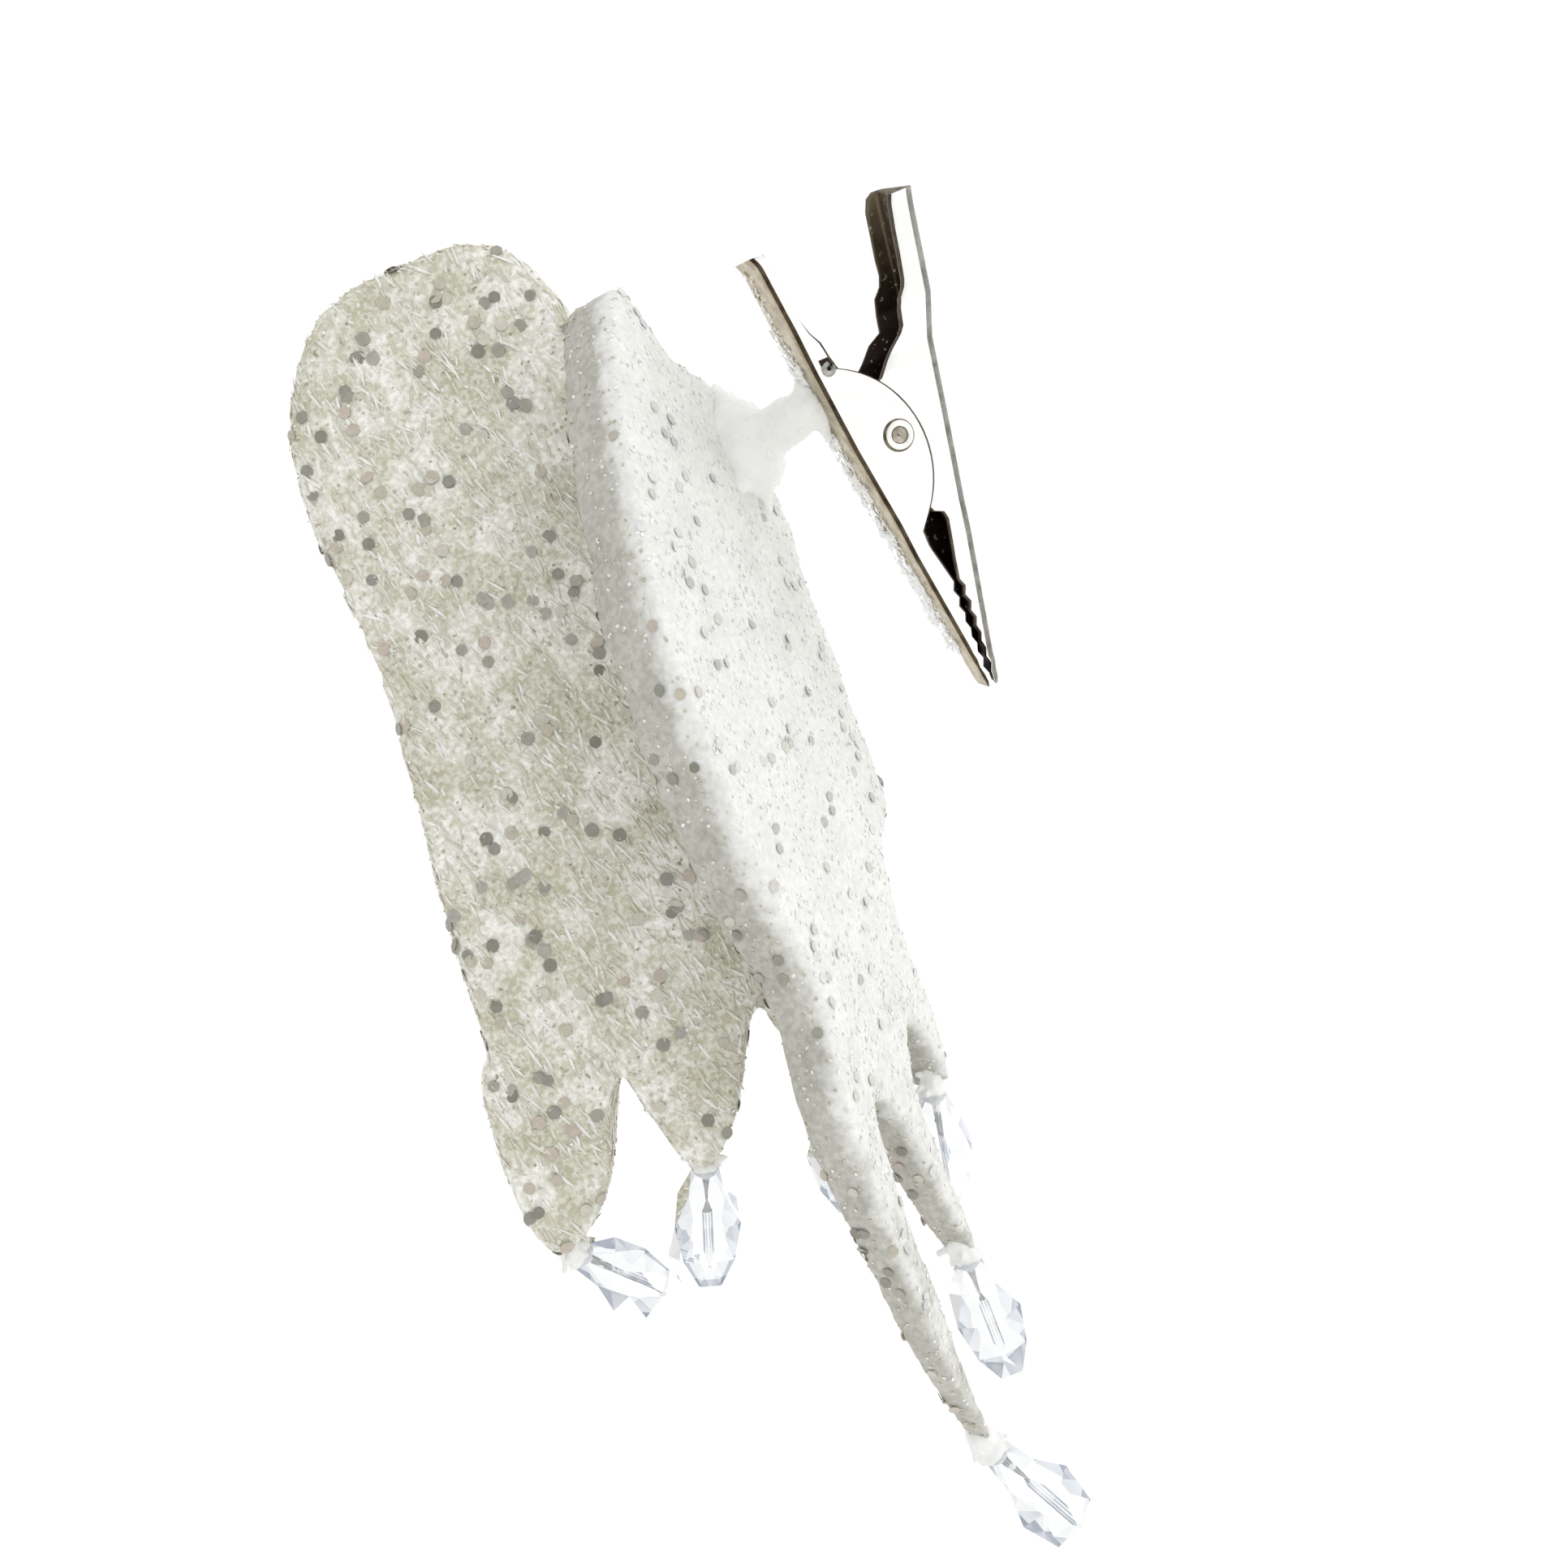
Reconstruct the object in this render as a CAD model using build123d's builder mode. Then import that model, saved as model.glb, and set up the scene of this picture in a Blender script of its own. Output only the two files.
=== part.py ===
from build123d import *
import math
import os

# Clip-on icicle ornament: two frosted foam icicle panels, six faceted drop beads on
# their fingers, and a toothed spring clip held to the back of one panel by hot glue.
# Millimetres. +Z is up along the hanging panels. The origin is the clip's grip point.
# +Y is the level direction that the clip's rivet points in, and +X crosses the jaws.

# Left panel: a flat foam icicle with three fingers.
LEFT_ORIGIN = (-61.6, 11.0)
LEFT_HEADING = 100
LEFT_THICK = 6.0

# Right panel: the same kind of icicle, turned so that its back faces the clip.
RIGHT_ORIGIN = (-37.4, -13.5)
RIGHT_HEADING = 38
RIGHT_THICK = 7.0

# Hot-glue seam between the left panel's edge and the right panel's front.
SEAM_CENTRE = (21.0, 3.0)
SEAM_WIDTH = 9.0
SEAM_LENGTH = 58.0
SEAM_THICK = 4.5
SEAM_TAPER = 18

# Beads: a faceted drop with a drilled hole along its axis.
BEAD_LENGTH = 13.5
BEAD_FACETS = 10
BEAD_HOLE = 1.0
BEAD_SECTIONS = (
    (0, 1.8), (2.2, 3.0), (4.8, 3.95), (7.8, 4.35), (10.6, 3.9), (12.6, 2.7), (BEAD_LENGTH, 1.5),
)
DAB_RADIUS = 2.3
DAB_GAP = 0.6

# Clip: two folded sheet-metal jaws, closed with their teeth meeting.
SHEET = 0.6
RIVET_HEIGHT = 22.5
GRIP_ASIDE = 1.0
TIP_DROP = 27.0
# How far the handles reach above the rivet on the right panel's side and on the other.
FIXED_RISE = (19.9, 19.4)
MOVING_RISE = (21.6, 20.0)
CLIP_TILT = 16
CLIP_LEAN = 7
# The backs of the jaws: how far across from the rivet, at the tip, the rivet and the handle.
FIXED_BACK = ((-TIP_DROP, 0.5), (0, -4.5), (20, -7.4))
MOVING_BACK = ((-TIP_DROP, 1.8), (0, 5.95), (20, 8.85))
BITE_LEAN = 0.02
TOOTH_PITCH = 1.7
TOOTH_DEPTH = 0.35
TOOTH_COUNT = 6
TEETH_TOP = -15.3
BITE_CLEARANCE = 0.12
NOSE = 26.4
CHANNEL_END = -23.4
EAR_HALF_WIDTH = 2.95
MOVING_HALF_WIDTH = 2.2
NECK_HALF_WIDTH = 2.4
FIXED_HANDLE_HALF_WIDTH = 3.3
MOVING_HANDLE_HALF_WIDTH = 4.0
TIP_HALF_WIDTH = 1.9
# Lengths well past the part that they cut.
REACH = 15.0
PANEL_REACH = 50.0
ABOVE_HANDLES = 23.0
BELOW_TIPS = -28.0

# Rivet and spring.
RIVET_SHANK = 1.8
RIVET_BORE = 1.0
RUNNING_GAP = 0.05
RIVET_HEAD = 3.1
RIVET_HEAD_THICK = 0.45
SPRING_WIRE = 0.6
SPRING_TURNS = 5
SPRING_RADIUS = 1.55
SPRING_REACH = 8.6

# Hot glue on the clip.
FILM_THICK = 0.9
FILM_WIDTH = 3.0
FILM_ASIDE = -1.9
FILM_TOP = 14.0
FILM_FOOT = -23.5
FILM_BEVEL = 3.0
POST_ON_PANEL = (26.0, 26.5)
POST_ON_CLIP = 5.5
POST_SECTIONS = ((-0.08, 5.0), (0.12, 4.0), (0.5, 2.7), (0.85, 2.6), (1.1, 2.8))

os.makedirs("parts", exist_ok=True)


def write(piece, name):
    piece.label = name
    export_step(piece, "parts/" + name + ".step")


def upright_plane(origin, heading):
    """A vertical plane: local x follows the heading and local y is up."""
    turn = math.radians(heading)
    along = Vector(math.sin(turn), math.cos(turn), 0)
    return Plane(origin=(origin[0], origin[1], 0), x_dir=along, z_dir=along.cross(Vector(0, 0, 1)))


# The left panel is drawn on its middle plane and the right panel on its front face.
# Both planes' normals point to the clip's side of the ornament.
LEFT = upright_plane(LEFT_ORIGIN, LEFT_HEADING)
RIGHT = upright_plane(RIGHT_ORIGIN, RIGHT_HEADING)

# The clip's plane, at its rivet: local x crosses the jaws, local y runs up to the handles.
tilt = math.radians(CLIP_TILT)
lean = math.radians(CLIP_LEAN)
pivot_line = Vector(0, math.cos(tilt), math.sin(tilt))
clip_up = Vector(-math.sin(lean), -math.cos(lean) * math.sin(tilt), math.cos(lean) * math.cos(tilt))
clip_across = pivot_line.cross(clip_up)
rivet_place = clip_up * RIVET_HEIGHT - clip_across * GRIP_ASIDE
CLIP = Plane(origin=rivet_place, x_dir=clip_across, z_dir=pivot_line * -1)
# The clip seen from beside its handles: local x is the rivet's line, local y is the same up.
CLIP_SIDE = Plane(origin=CLIP.origin, x_dir=pivot_line, z_dir=clip_across)


# ---------------------------------------------------------------- foam panels

with BuildPart() as left_panel:
    with BuildSketch(LEFT):
        with BuildLine():
            Spline((3, 26), (3.4, 43), (9.5, 52.4), (20, 55), (29, 53.8), (33.4, 47), (35.4, 34))
            Line((35.4, 34), (36, 10))
            Line((36, 10), (35.4, -27))
            Spline((35.4, -27), (35.4, -34), (33.9, -39), (32, -35), (30, -27.6))
            Spline((30, -27.6), (27.2, -31.8), (23.6, -38.6), (19.4, -42), (16.6, -37.6), (14.3, -29.6))
            Spline((14.3, -29.6), (11.6, -35.6), (8, -42.6), (3, -45.6), (0.4, -40), (2.4, -25))
            Spline((2.4, -25), (2.7, -8), (3.8, 10), (3, 26))
        make_face()
    extrude(amount=LEFT_THICK / 2, both=True)
write(left_panel.part, "left_panel")

with BuildPart() as right_panel:
    with BuildSketch(RIGHT):
        with BuildLine():
            Spline(
                (0, 8), (2.2, 20.6), (6.3, 31.8), (12.4, 41.6),
                (17.4, 36.6), (25, 33), (31, 24), (31.4, 13),
            )
            Line((31.4, 13), (33.4, -13.4))
            Line((33.4, -13.4), (27.6, -17.8))
            Spline((27.6, -17.8), (27.4, -28), (28.8, -37), (28, -43.2), (25.6, -38), (22, -34.6))
            Spline(
                (22, -34.6), (20, -39), (20.6, -48), (22.5, -59),
                (18, -50.5), (14.4, -41.4), (10.8, -38),
            )
            Spline((10.8, -38), (10, -45), (11.4, -56), (12.6, -66), (14.6, -74.6))
            Spline((14.6, -74.6), (9.8, -65), (7, -54), (4.8, -42), (6.2, -28))
            Line((6.2, -28), (5.4, -22.5))
            Spline((5.4, -22.5), (1.6, -12), (0.3, -2), (0, 8))
        make_face()
    extrude(amount=RIGHT_THICK)
    # Seen from the side: full thickness above the fingers, thinning towards their tips.
    with BuildSketch(Plane(origin=RIGHT.origin, x_dir=RIGHT.z_dir, z_dir=RIGHT.x_dir * -1)):
        with BuildLine():
            Polyline(
                (0, 45), (0, -18), (0.6, -30), (1.2, -44), (1.9, -60), (2.6, -78),
                (4.4, -78), (5.1, -60), (5.8, -44), (6.4, -30), (RIGHT_THICK, -18), (RIGHT_THICK, 45),
                close=True,
            )
        make_face()
    extrude(amount=PANEL_REACH, both=True, mode=Mode.INTERSECT)
write(right_panel.part, "right_panel")

with BuildPart() as panel_seam_glue:
    with BuildSketch(RIGHT):
        with Locations(SEAM_CENTRE):
            SlotOverall(SEAM_LENGTH, SEAM_WIDTH, rotation=90)
    extrude(amount=-SEAM_THICK, taper=SEAM_TAPER)
    add(left_panel.part, mode=Mode.SUBTRACT)
write(panel_seam_glue.part, "panel_seam_glue")


# ---------------------------------------------------------------- beads and their glue

# Each finger tip: the panel's plane, the tip in that plane, how far the panel's middle
# lies behind the plane, and the bead's lean from straight down in degrees: to the right,
# and back from the clip's side.
FINGERS = {
    "left_1": (LEFT, (3.6, -46.5), 0, 36, 24),
    "left_2": (LEFT, (19.4, -41.8), 0, -16, 0),
    "left_3": (LEFT, (33.9, -38.8), 0, -6, 0),
    "right_1": (RIGHT, (14.5, -74.2), RIGHT_THICK / 2, 30, 0),
    "right_2": (RIGHT, (22.4, -58.6), RIGHT_THICK / 2, 3, 0),
    "right_3": (RIGHT, (28, -42.8), RIGHT_THICK / 2, -9, 0),
}
panels = {"left": left_panel, "right": right_panel}

for name, (plane, tip, depth, slant, nod) in FINGERS.items():
    slant, nod = math.radians(slant), math.radians(nod)
    hang = LEFT.x_dir * math.sin(slant) - Vector(0, 0, 1) * math.cos(slant)
    axis = hang * math.cos(nod) - LEFT.z_dir * math.sin(nod)
    finger_tip = plane.from_local_coords(Vector(tip[0], tip[1], depth))
    top = finger_tip + axis * DAB_GAP

    with BuildPart() as crystal:
        for height, radius in BEAD_SECTIONS:
            with BuildSketch(Plane(origin=top + axis * height, x_dir=LEFT.z_dir, z_dir=axis)):
                RegularPolygon(radius, BEAD_FACETS)
        loft(ruled=True)
        with BuildSketch(Plane(origin=top, x_dir=LEFT.z_dir, z_dir=axis)):
            Circle(BEAD_HOLE / 2)
        extrude(amount=BEAD_LENGTH, mode=Mode.SUBTRACT)
    write(crystal.part, name.replace("_", "_crystal_"))

    with BuildPart() as dab:
        with Locations(Plane(origin=top, x_dir=LEFT.z_dir, z_dir=axis)):
            Sphere(DAB_RADIUS)
        add(panels[name.split("_")[0]].part, mode=Mode.SUBTRACT)
        add(crystal.part, mode=Mode.SUBTRACT)
    write(dab.part, name.replace("_", "_glue_dab_"))


# ---------------------------------------------------------------- clip jaws

def spine(side, height, inset=0.0):
    """A point on a jaw's back, at a height above the rivet. Side is -1 fixed, 1 moving."""
    tip, bend, handle = FIXED_BACK if side < 0 else MOVING_BACK
    low, high = (tip, bend) if height < 0 else (bend, handle)
    share = (height - low[0]) / (high[0] - low[0])
    return (low[1] + (high[1] - low[1]) * share - side * inset, height)


def bite_point(side, height, open_by):
    """A point that far from the line where the jaws meet. That line leans to the tips."""
    return (GRIP_ASIDE - BITE_LEAN * (height + RIVET_HEIGHT) + side * open_by, height)


def bite(side):
    """The toothed edge from the nose up to the top of the teeth."""
    foot = TEETH_TOP - TOOTH_COUNT * TOOTH_PITCH
    points = [bite_point(side, -NOSE, BITE_CLEARANCE), bite_point(side, foot, BITE_CLEARANCE)]
    for tooth in range(TOOTH_COUNT):
        rise = foot + tooth * TOOTH_PITCH
        points.append(bite_point(side, rise + TOOTH_PITCH / 2, BITE_CLEARANCE + TOOTH_DEPTH))
        points.append(bite_point(side, rise + TOOTH_PITCH, BITE_CLEARANCE))
    return points


def nose(side):
    """Three points of the rounded end of a jaw, from its back to its bite."""
    back, front = spine(side, -NOSE), bite_point(side, -NOSE, BITE_CLEARANCE)
    return back, ((back[0] + front[0]) / 2, -TIP_DROP), front


def plan(widths, rise, inset=0.0):
    """A jaw's outline from beside the handles, with the two heights that its handle ends at."""
    far = [(width - inset, height) for height, width in widths]
    near = [(inset - width, height) for height, width in reversed(widths)]
    top = widths[0][1] - inset
    return [(top, rise[0])] + far + near + [(-top, rise[1])]


FIXED_WIDTHS = [
    (12, FIXED_HANDLE_HALF_WIDTH), (8, EAR_HALF_WIDTH), (-8, EAR_HALF_WIDTH),
    (-11.5, NECK_HALF_WIDTH), (BELOW_TIPS, TIP_HALF_WIDTH),
]
MOVING_WIDTHS = [
    (11, MOVING_HANDLE_HALF_WIDTH), (7.2, MOVING_HALF_WIDTH), (-8, MOVING_HALF_WIDTH),
    (-11.5, NECK_HALF_WIDTH), (BELOW_TIPS, TIP_HALF_WIDTH),
]


def hollow(side, widths):
    """The channel between a jaw's two flanges, open towards the other jaw."""
    with BuildPart() as channel:
        with BuildSketch(CLIP):
            with BuildLine():
                Polyline(
                    spine(side, ABOVE_HANDLES, SHEET), spine(side, 0, SHEET),
                    spine(side, CHANNEL_END, SHEET),
                    (-side * REACH, CHANNEL_END), (-side * REACH, ABOVE_HANDLES),
                    close=True,
                )
            make_face()
        extrude(amount=REACH, both=True)
        with BuildSketch(CLIP_SIDE):
            with BuildLine():
                Polyline(*plan(widths, (ABOVE_HANDLES, ABOVE_HANDLES), SHEET), close=True)
            make_face()
        extrude(amount=REACH, both=True, mode=Mode.INTERSECT)
    return channel.part


with BuildPart() as clip_fixed_jaw:
    with BuildSketch(CLIP):
        with BuildLine():
            Polyline(spine(-1, ABOVE_HANDLES), spine(-1, 0), spine(-1, -NOSE))
            ThreePointArc(*nose(-1))
            Polyline(*bite(-1), (-0.5, -10.9), (-0.65, -9.4), (0.7, -7.5))
            ThreePointArc((0.7, -7.5), (2.65, -0.9), (-3.3, 7.8))
            Polyline((-3.3, 7.8), (-5.1, 7.9), (-5.1, 8.9), (-3.9, 9.1), (-4.1, 10.5), (-4.8, 11.6))
            Polyline((-4.8, 11.6), (-5.6, 13.8), (-6.1, 17), (-6.5, ABOVE_HANDLES), spine(-1, ABOVE_HANDLES))
        make_face()
    extrude(amount=REACH, both=True)
    with BuildSketch(CLIP_SIDE):
        with BuildLine():
            Polyline(*plan(FIXED_WIDTHS, FIXED_RISE), close=True)
        make_face()
    extrude(amount=REACH, both=True, mode=Mode.INTERSECT)
    add(hollow(-1, FIXED_WIDTHS), mode=Mode.SUBTRACT)
    with BuildSketch(CLIP):
        Circle(RIVET_SHANK / 2 + RUNNING_GAP)
    extrude(amount=REACH, both=True, mode=Mode.SUBTRACT)
write(clip_fixed_jaw.part, "clip_fixed_jaw")

with BuildPart() as clip_moving_jaw:
    with BuildSketch(CLIP):
        with BuildLine():
            Polyline(spine(1, ABOVE_HANDLES), spine(1, 0), spine(1, -NOSE))
            ThreePointArc(*nose(1))
            Polyline(*bite(1), (1.8, -10.3), (2.0, -9.3), (1.4, -8.1), (-0.8, -4.6))
            ThreePointArc((-0.8, -4.6), (-3.3, 0.5), (0.4, 5.8))
            Polyline((0.4, 5.8), (2.3, 8.1), (3.8, 9.1), (4.0, 10.8), (4.35, 11.9), (5.3, 13.1))
            Polyline((5.3, 13.1), (6.05, 17.5), (6.5, 19.8), (7.0, ABOVE_HANDLES), spine(1, ABOVE_HANDLES))
        make_face()
    extrude(amount=REACH, both=True)
    with BuildSketch(CLIP_SIDE):
        with BuildLine():
            Polyline(*plan(MOVING_WIDTHS, MOVING_RISE), close=True)
        make_face()
    extrude(amount=REACH, both=True, mode=Mode.INTERSECT)
    add(hollow(1, MOVING_WIDTHS), mode=Mode.SUBTRACT)
    with BuildSketch(CLIP):
        Circle(RIVET_SHANK / 2 + RUNNING_GAP)
    extrude(amount=REACH, both=True, mode=Mode.SUBTRACT)
write(clip_moving_jaw.part, "clip_moving_jaw")


# ---------------------------------------------------------------- rivet and spring

# A hollow rivet: a tube through both jaws with a rolled head at each end.
with BuildPart() as clip_rivet:
    with BuildSketch(CLIP):
        Circle(RIVET_SHANK / 2)
    extrude(amount=EAR_HALF_WIDTH + RIVET_HEAD_THICK, both=True)
    for face in (EAR_HALF_WIDTH, -EAR_HALF_WIDTH - RIVET_HEAD_THICK):
        with BuildSketch(CLIP.offset(face)):
            Circle(RIVET_HEAD / 2)
        extrude(amount=RIVET_HEAD_THICK)
    with BuildSketch(CLIP):
        Circle(RIVET_BORE / 2)
    extrude(amount=REACH, both=True, mode=Mode.SUBTRACT)
write(clip_rivet.part, "clip_rivet")

# A close-wound torsion spring on the rivet. One leg presses each jaw's back open.
coil_half = (SPRING_TURNS - 1) * SPRING_WIRE / 2
with BuildPart() as clip_spring:
    with BuildSketch(Plane(origin=CLIP.origin, x_dir=clip_across, z_dir=clip_up)):
        with Locations((SPRING_RADIUS, 0)):
            SlotOverall(SPRING_TURNS * SPRING_WIRE, SPRING_WIRE, rotation=90)
    revolve(axis=Axis(CLIP.origin, pivot_line))
    for side in (-1, 1):
        leg_end = spine(side, SPRING_REACH, SHEET + SPRING_WIRE / 2 + RUNNING_GAP)
        with BuildLine(CLIP.offset(-side * coil_half)) as leg:
            Line((side * SPRING_RADIUS, 0), leg_end)
        with BuildSketch(Plane(origin=leg.line @ 0, z_dir=leg.line % 0)):
            Circle(SPRING_WIRE / 2)
        sweep(path=leg.line)
write(clip_spring.part, "clip_spring")


# ---------------------------------------------------------------- glue on the clip

with BuildPart() as clip_glue_film:
    with BuildSketch(CLIP.offset(FILM_ASIDE)):
        with BuildLine():
            Polyline(
                spine(-1, FILM_TOP), spine(-1, 0), spine(-1, FILM_FOOT),
                spine(-1, FILM_FOOT + FILM_BEVEL, -FILM_THICK), spine(-1, 0, -FILM_THICK),
                spine(-1, FILM_TOP - FILM_BEVEL, -FILM_THICK),
                close=True,
            )
        make_face()
    extrude(amount=FILM_WIDTH / 2, both=True)
write(clip_glue_film.part, "clip_glue_film")

post_start = RIGHT.from_local_coords(Vector(*POST_ON_PANEL, RIGHT_THICK))
post_end = CLIP.from_local_coords(Vector(*spine(-1, POST_ON_CLIP), FILM_ASIDE))
post_run = post_end - post_start
handle_run = post_end - CLIP.from_local_coords(Vector(*spine(-1, 0), FILM_ASIDE))
jaw_back = Plane(origin=post_end, x_dir=pivot_line, z_dir=pivot_line.cross(handle_run) * -1)
with BuildPart() as clip_glue_post:
    for share, radius in POST_SECTIONS:
        with BuildSketch(Plane(origin=post_start + post_run * share, z_dir=post_run)):
            Circle(radius)
    loft()
    split(bisect_by=jaw_back, keep=Keep.TOP)
    add(right_panel.part, mode=Mode.SUBTRACT)
    add(clip_glue_film.part, mode=Mode.SUBTRACT)
write(clip_glue_post.part, "clip_glue_post")
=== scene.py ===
"""A clip-on icicle ornament: two frosted foam icicles, glass drops and a toothed clip."""
import math

import bpy
import numpy as np
from mathutils import Matrix, Vector, noise


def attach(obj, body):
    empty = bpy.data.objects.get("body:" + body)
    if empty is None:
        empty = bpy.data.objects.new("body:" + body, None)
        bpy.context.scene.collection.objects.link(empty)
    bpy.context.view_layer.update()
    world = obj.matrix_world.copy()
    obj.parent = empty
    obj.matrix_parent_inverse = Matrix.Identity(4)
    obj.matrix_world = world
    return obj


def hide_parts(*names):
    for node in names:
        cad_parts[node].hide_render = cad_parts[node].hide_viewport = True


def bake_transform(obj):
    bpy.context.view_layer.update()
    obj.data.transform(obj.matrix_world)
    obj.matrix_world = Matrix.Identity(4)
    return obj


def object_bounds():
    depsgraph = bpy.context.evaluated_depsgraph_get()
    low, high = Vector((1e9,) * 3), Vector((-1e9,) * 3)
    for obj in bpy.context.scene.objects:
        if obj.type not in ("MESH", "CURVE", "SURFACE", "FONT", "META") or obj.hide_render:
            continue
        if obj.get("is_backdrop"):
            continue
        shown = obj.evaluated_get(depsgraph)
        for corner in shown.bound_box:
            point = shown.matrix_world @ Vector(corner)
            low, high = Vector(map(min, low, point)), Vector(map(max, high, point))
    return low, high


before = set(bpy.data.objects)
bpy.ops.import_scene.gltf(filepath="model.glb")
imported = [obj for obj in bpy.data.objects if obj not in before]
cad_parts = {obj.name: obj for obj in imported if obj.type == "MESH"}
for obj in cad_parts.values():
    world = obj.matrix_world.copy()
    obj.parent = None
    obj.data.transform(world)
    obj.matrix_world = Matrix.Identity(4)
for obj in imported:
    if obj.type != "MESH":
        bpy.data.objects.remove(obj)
cad_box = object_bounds()

# Everything below is worked out in millimetres and turned into metres as objects are made.
MM = 0.001

# Panels: the heading and the origin of each one's plane.
LEFT_HEADING = 100
LEFT_ORIGIN = (-61.6, 11.0)
RIGHT_HEADING = 38
RIGHT_ORIGIN = (-37.4, -13.5)
RIGHT_THICK = 7.0
PANEL_VOXEL = 0.42
FINGER_KEEP = 0.93
FINGER_CALM = 0.65
# Radii of the sequins.
LEFT_SEQUIN = 0.7
RIGHT_SEQUIN = 0.56

# Clip.
CLIP_TILT = 16
CLIP_LEAN = 7
RIVET_HEIGHT = 22.5
GRIP_ASIDE = 1.0
TIP_DROP = 27.0
NOSE = 26.4
# How far the handles reach above the rivet on the near side, and how much more on the far side.
FIXED_RISE = 19.4
FIXED_SLANT = 0.5
MOVING_RISE = 20.0
MOVING_SLANT = 1.6
# The backs of the jaws: (height from the rivet, place across), from the tip to the handle.
FIXED_BACK = ((-TIP_DROP, 0.5), (0, -4.5), (20, -7.4))
MOVING_BACK = ((-TIP_DROP, 1.8), (0, 5.95), (20.0, 8.85))
BITE_LEAN = 0.02
EAR_HALF_WIDTH = 2.95
MOVING_HALF_WIDTH = 2.2
NECK_HALF_WIDTH = 2.4
FIXED_HANDLE_HALF_WIDTH = 3.3
MOVING_HANDLE_HALF_WIDTH = 4.0
TIP_HALF_WIDTH = 1.9
SHEET = 0.5
FOLD_RADIUS = 0.85
TOOTH_PITCH = 1.7
TOOTH_DEPTH = 0.35
TOOTH_COUNT = 6
TEETH_TOP = -15.3
BITE_CLEARANCE = 0.12
FLARE_START = 18.0
FIXED_FLARE = 0.35
MOVING_FLARE = 0.05

# Rivet and spring.
SPRING_WIRE = 0.3
SPRING_RADIUS = 1.55
SPRING_TURNS = 4.5
SPRING_HALF = 1.2
SPRING_REACH = 8.1
SPRING_TAIL = (-4.3, 8.5)
SPRING_CURL = 0.42

# Beads. A ring of facets has a height, a radius and the share of a facet it is turned by.
BEAD_LENGTH = 13.5
BEAD_FACETS = 10
BEAD_HOLE = 0.55
BEAD_EDGE = 0.07
BEAD_RINGS = (
    (0, 1.75, 0), (2.4, 3.1, 0.5), (5.4, 4.15, 0), (8.6, 4.35, 0.5), (11.2, 3.55, 0), (13.0, 2.2, 0.5),
    (BEAD_LENGTH, 1.4, 0),
)


# ---------------- places in the frame

def direction(heading):
    turn = math.radians(heading)
    return Vector((math.sin(turn), math.cos(turn), 0))


class Place:
    """A plane with its own x, y and z, from which points are read in the frame."""

    def __init__(self, origin, x, y, z):
        self.origin, self.x, self.y, self.z = Vector(origin), x, y, z

    def point(self, x, y, z=0.0):
        return self.origin + self.x * x + self.y * y + self.z * z


UP = Vector((0, 0, 1))
LEFT = Place((*LEFT_ORIGIN, 0), direction(LEFT_HEADING), UP, direction(LEFT_HEADING).cross(UP))
RIGHT = Place((*RIGHT_ORIGIN, 0), direction(RIGHT_HEADING), UP, direction(RIGHT_HEADING).cross(UP))

tilt = math.radians(CLIP_TILT)
lean = math.radians(CLIP_LEAN)
pivot_line = Vector((0, math.cos(tilt), math.sin(tilt)))
clip_up = Vector((-math.sin(lean), -math.cos(lean) * math.sin(tilt), math.cos(lean) * math.cos(tilt)))
clip_across = pivot_line.cross(clip_up)
CLIP = Place(clip_up * RIVET_HEIGHT - clip_across * GRIP_ASIDE, clip_across, clip_up, -pivot_line)


# ---------------- mesh tools

def add_object(name, points, faces, materials, face_materials=None, smooth=True):
    """A mesh object from points in millimetres."""
    mesh = bpy.data.meshes.new(name)
    mesh.from_pydata([Vector(p) * MM for p in points], [], [list(map(int, f)) for f in faces])
    for material in materials:
        mesh.materials.append(material)
    if face_materials is not None:
        mesh.polygons.foreach_set("material_index", face_materials)
    mesh.polygons.foreach_set("use_smooth", [smooth] * len(faces))
    mesh.update()
    obj = bpy.data.objects.new(name, mesh)
    bpy.context.scene.collection.objects.link(obj)
    return obj


def evaluated(obj):
    """Points, normals and faces of an object with its modifiers applied."""
    graph = bpy.context.evaluated_depsgraph_get()
    mesh = bpy.data.meshes.new_from_object(obj.evaluated_get(graph), depsgraph=graph)
    points = np.zeros(len(mesh.vertices) * 3)
    mesh.vertices.foreach_get("co", points)
    normals = np.zeros(len(mesh.vertices) * 3)
    mesh.vertices.foreach_get("normal", normals)
    faces = [tuple(p.vertices) for p in mesh.polygons]
    bpy.data.meshes.remove(mesh)
    return points.reshape(-1, 3), normals.reshape(-1, 3), faces


def softened(points, faces, rounds, keep=None):
    """Points drawn towards their neighbours, less where keep is above 0."""
    pairs = np.array([(f[i], f[i - 1]) for f in faces for i in range(len(f))])
    pairs = np.concatenate([pairs, pairs[:, ::-1]])
    count = np.bincount(pairs[:, 0], minlength=len(points))[:, None]
    share = 0.5 if keep is None else 0.5 * (1 - keep)[:, None]
    for _ in range(rounds):
        lines = points[pairs[:, 1]].T
        sums = [np.bincount(pairs[:, 0], weights=line, minlength=len(points)) for line in lines]
        total = np.stack(sums, 1)
        points = points + (total / count - points) * share
    return points


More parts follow.
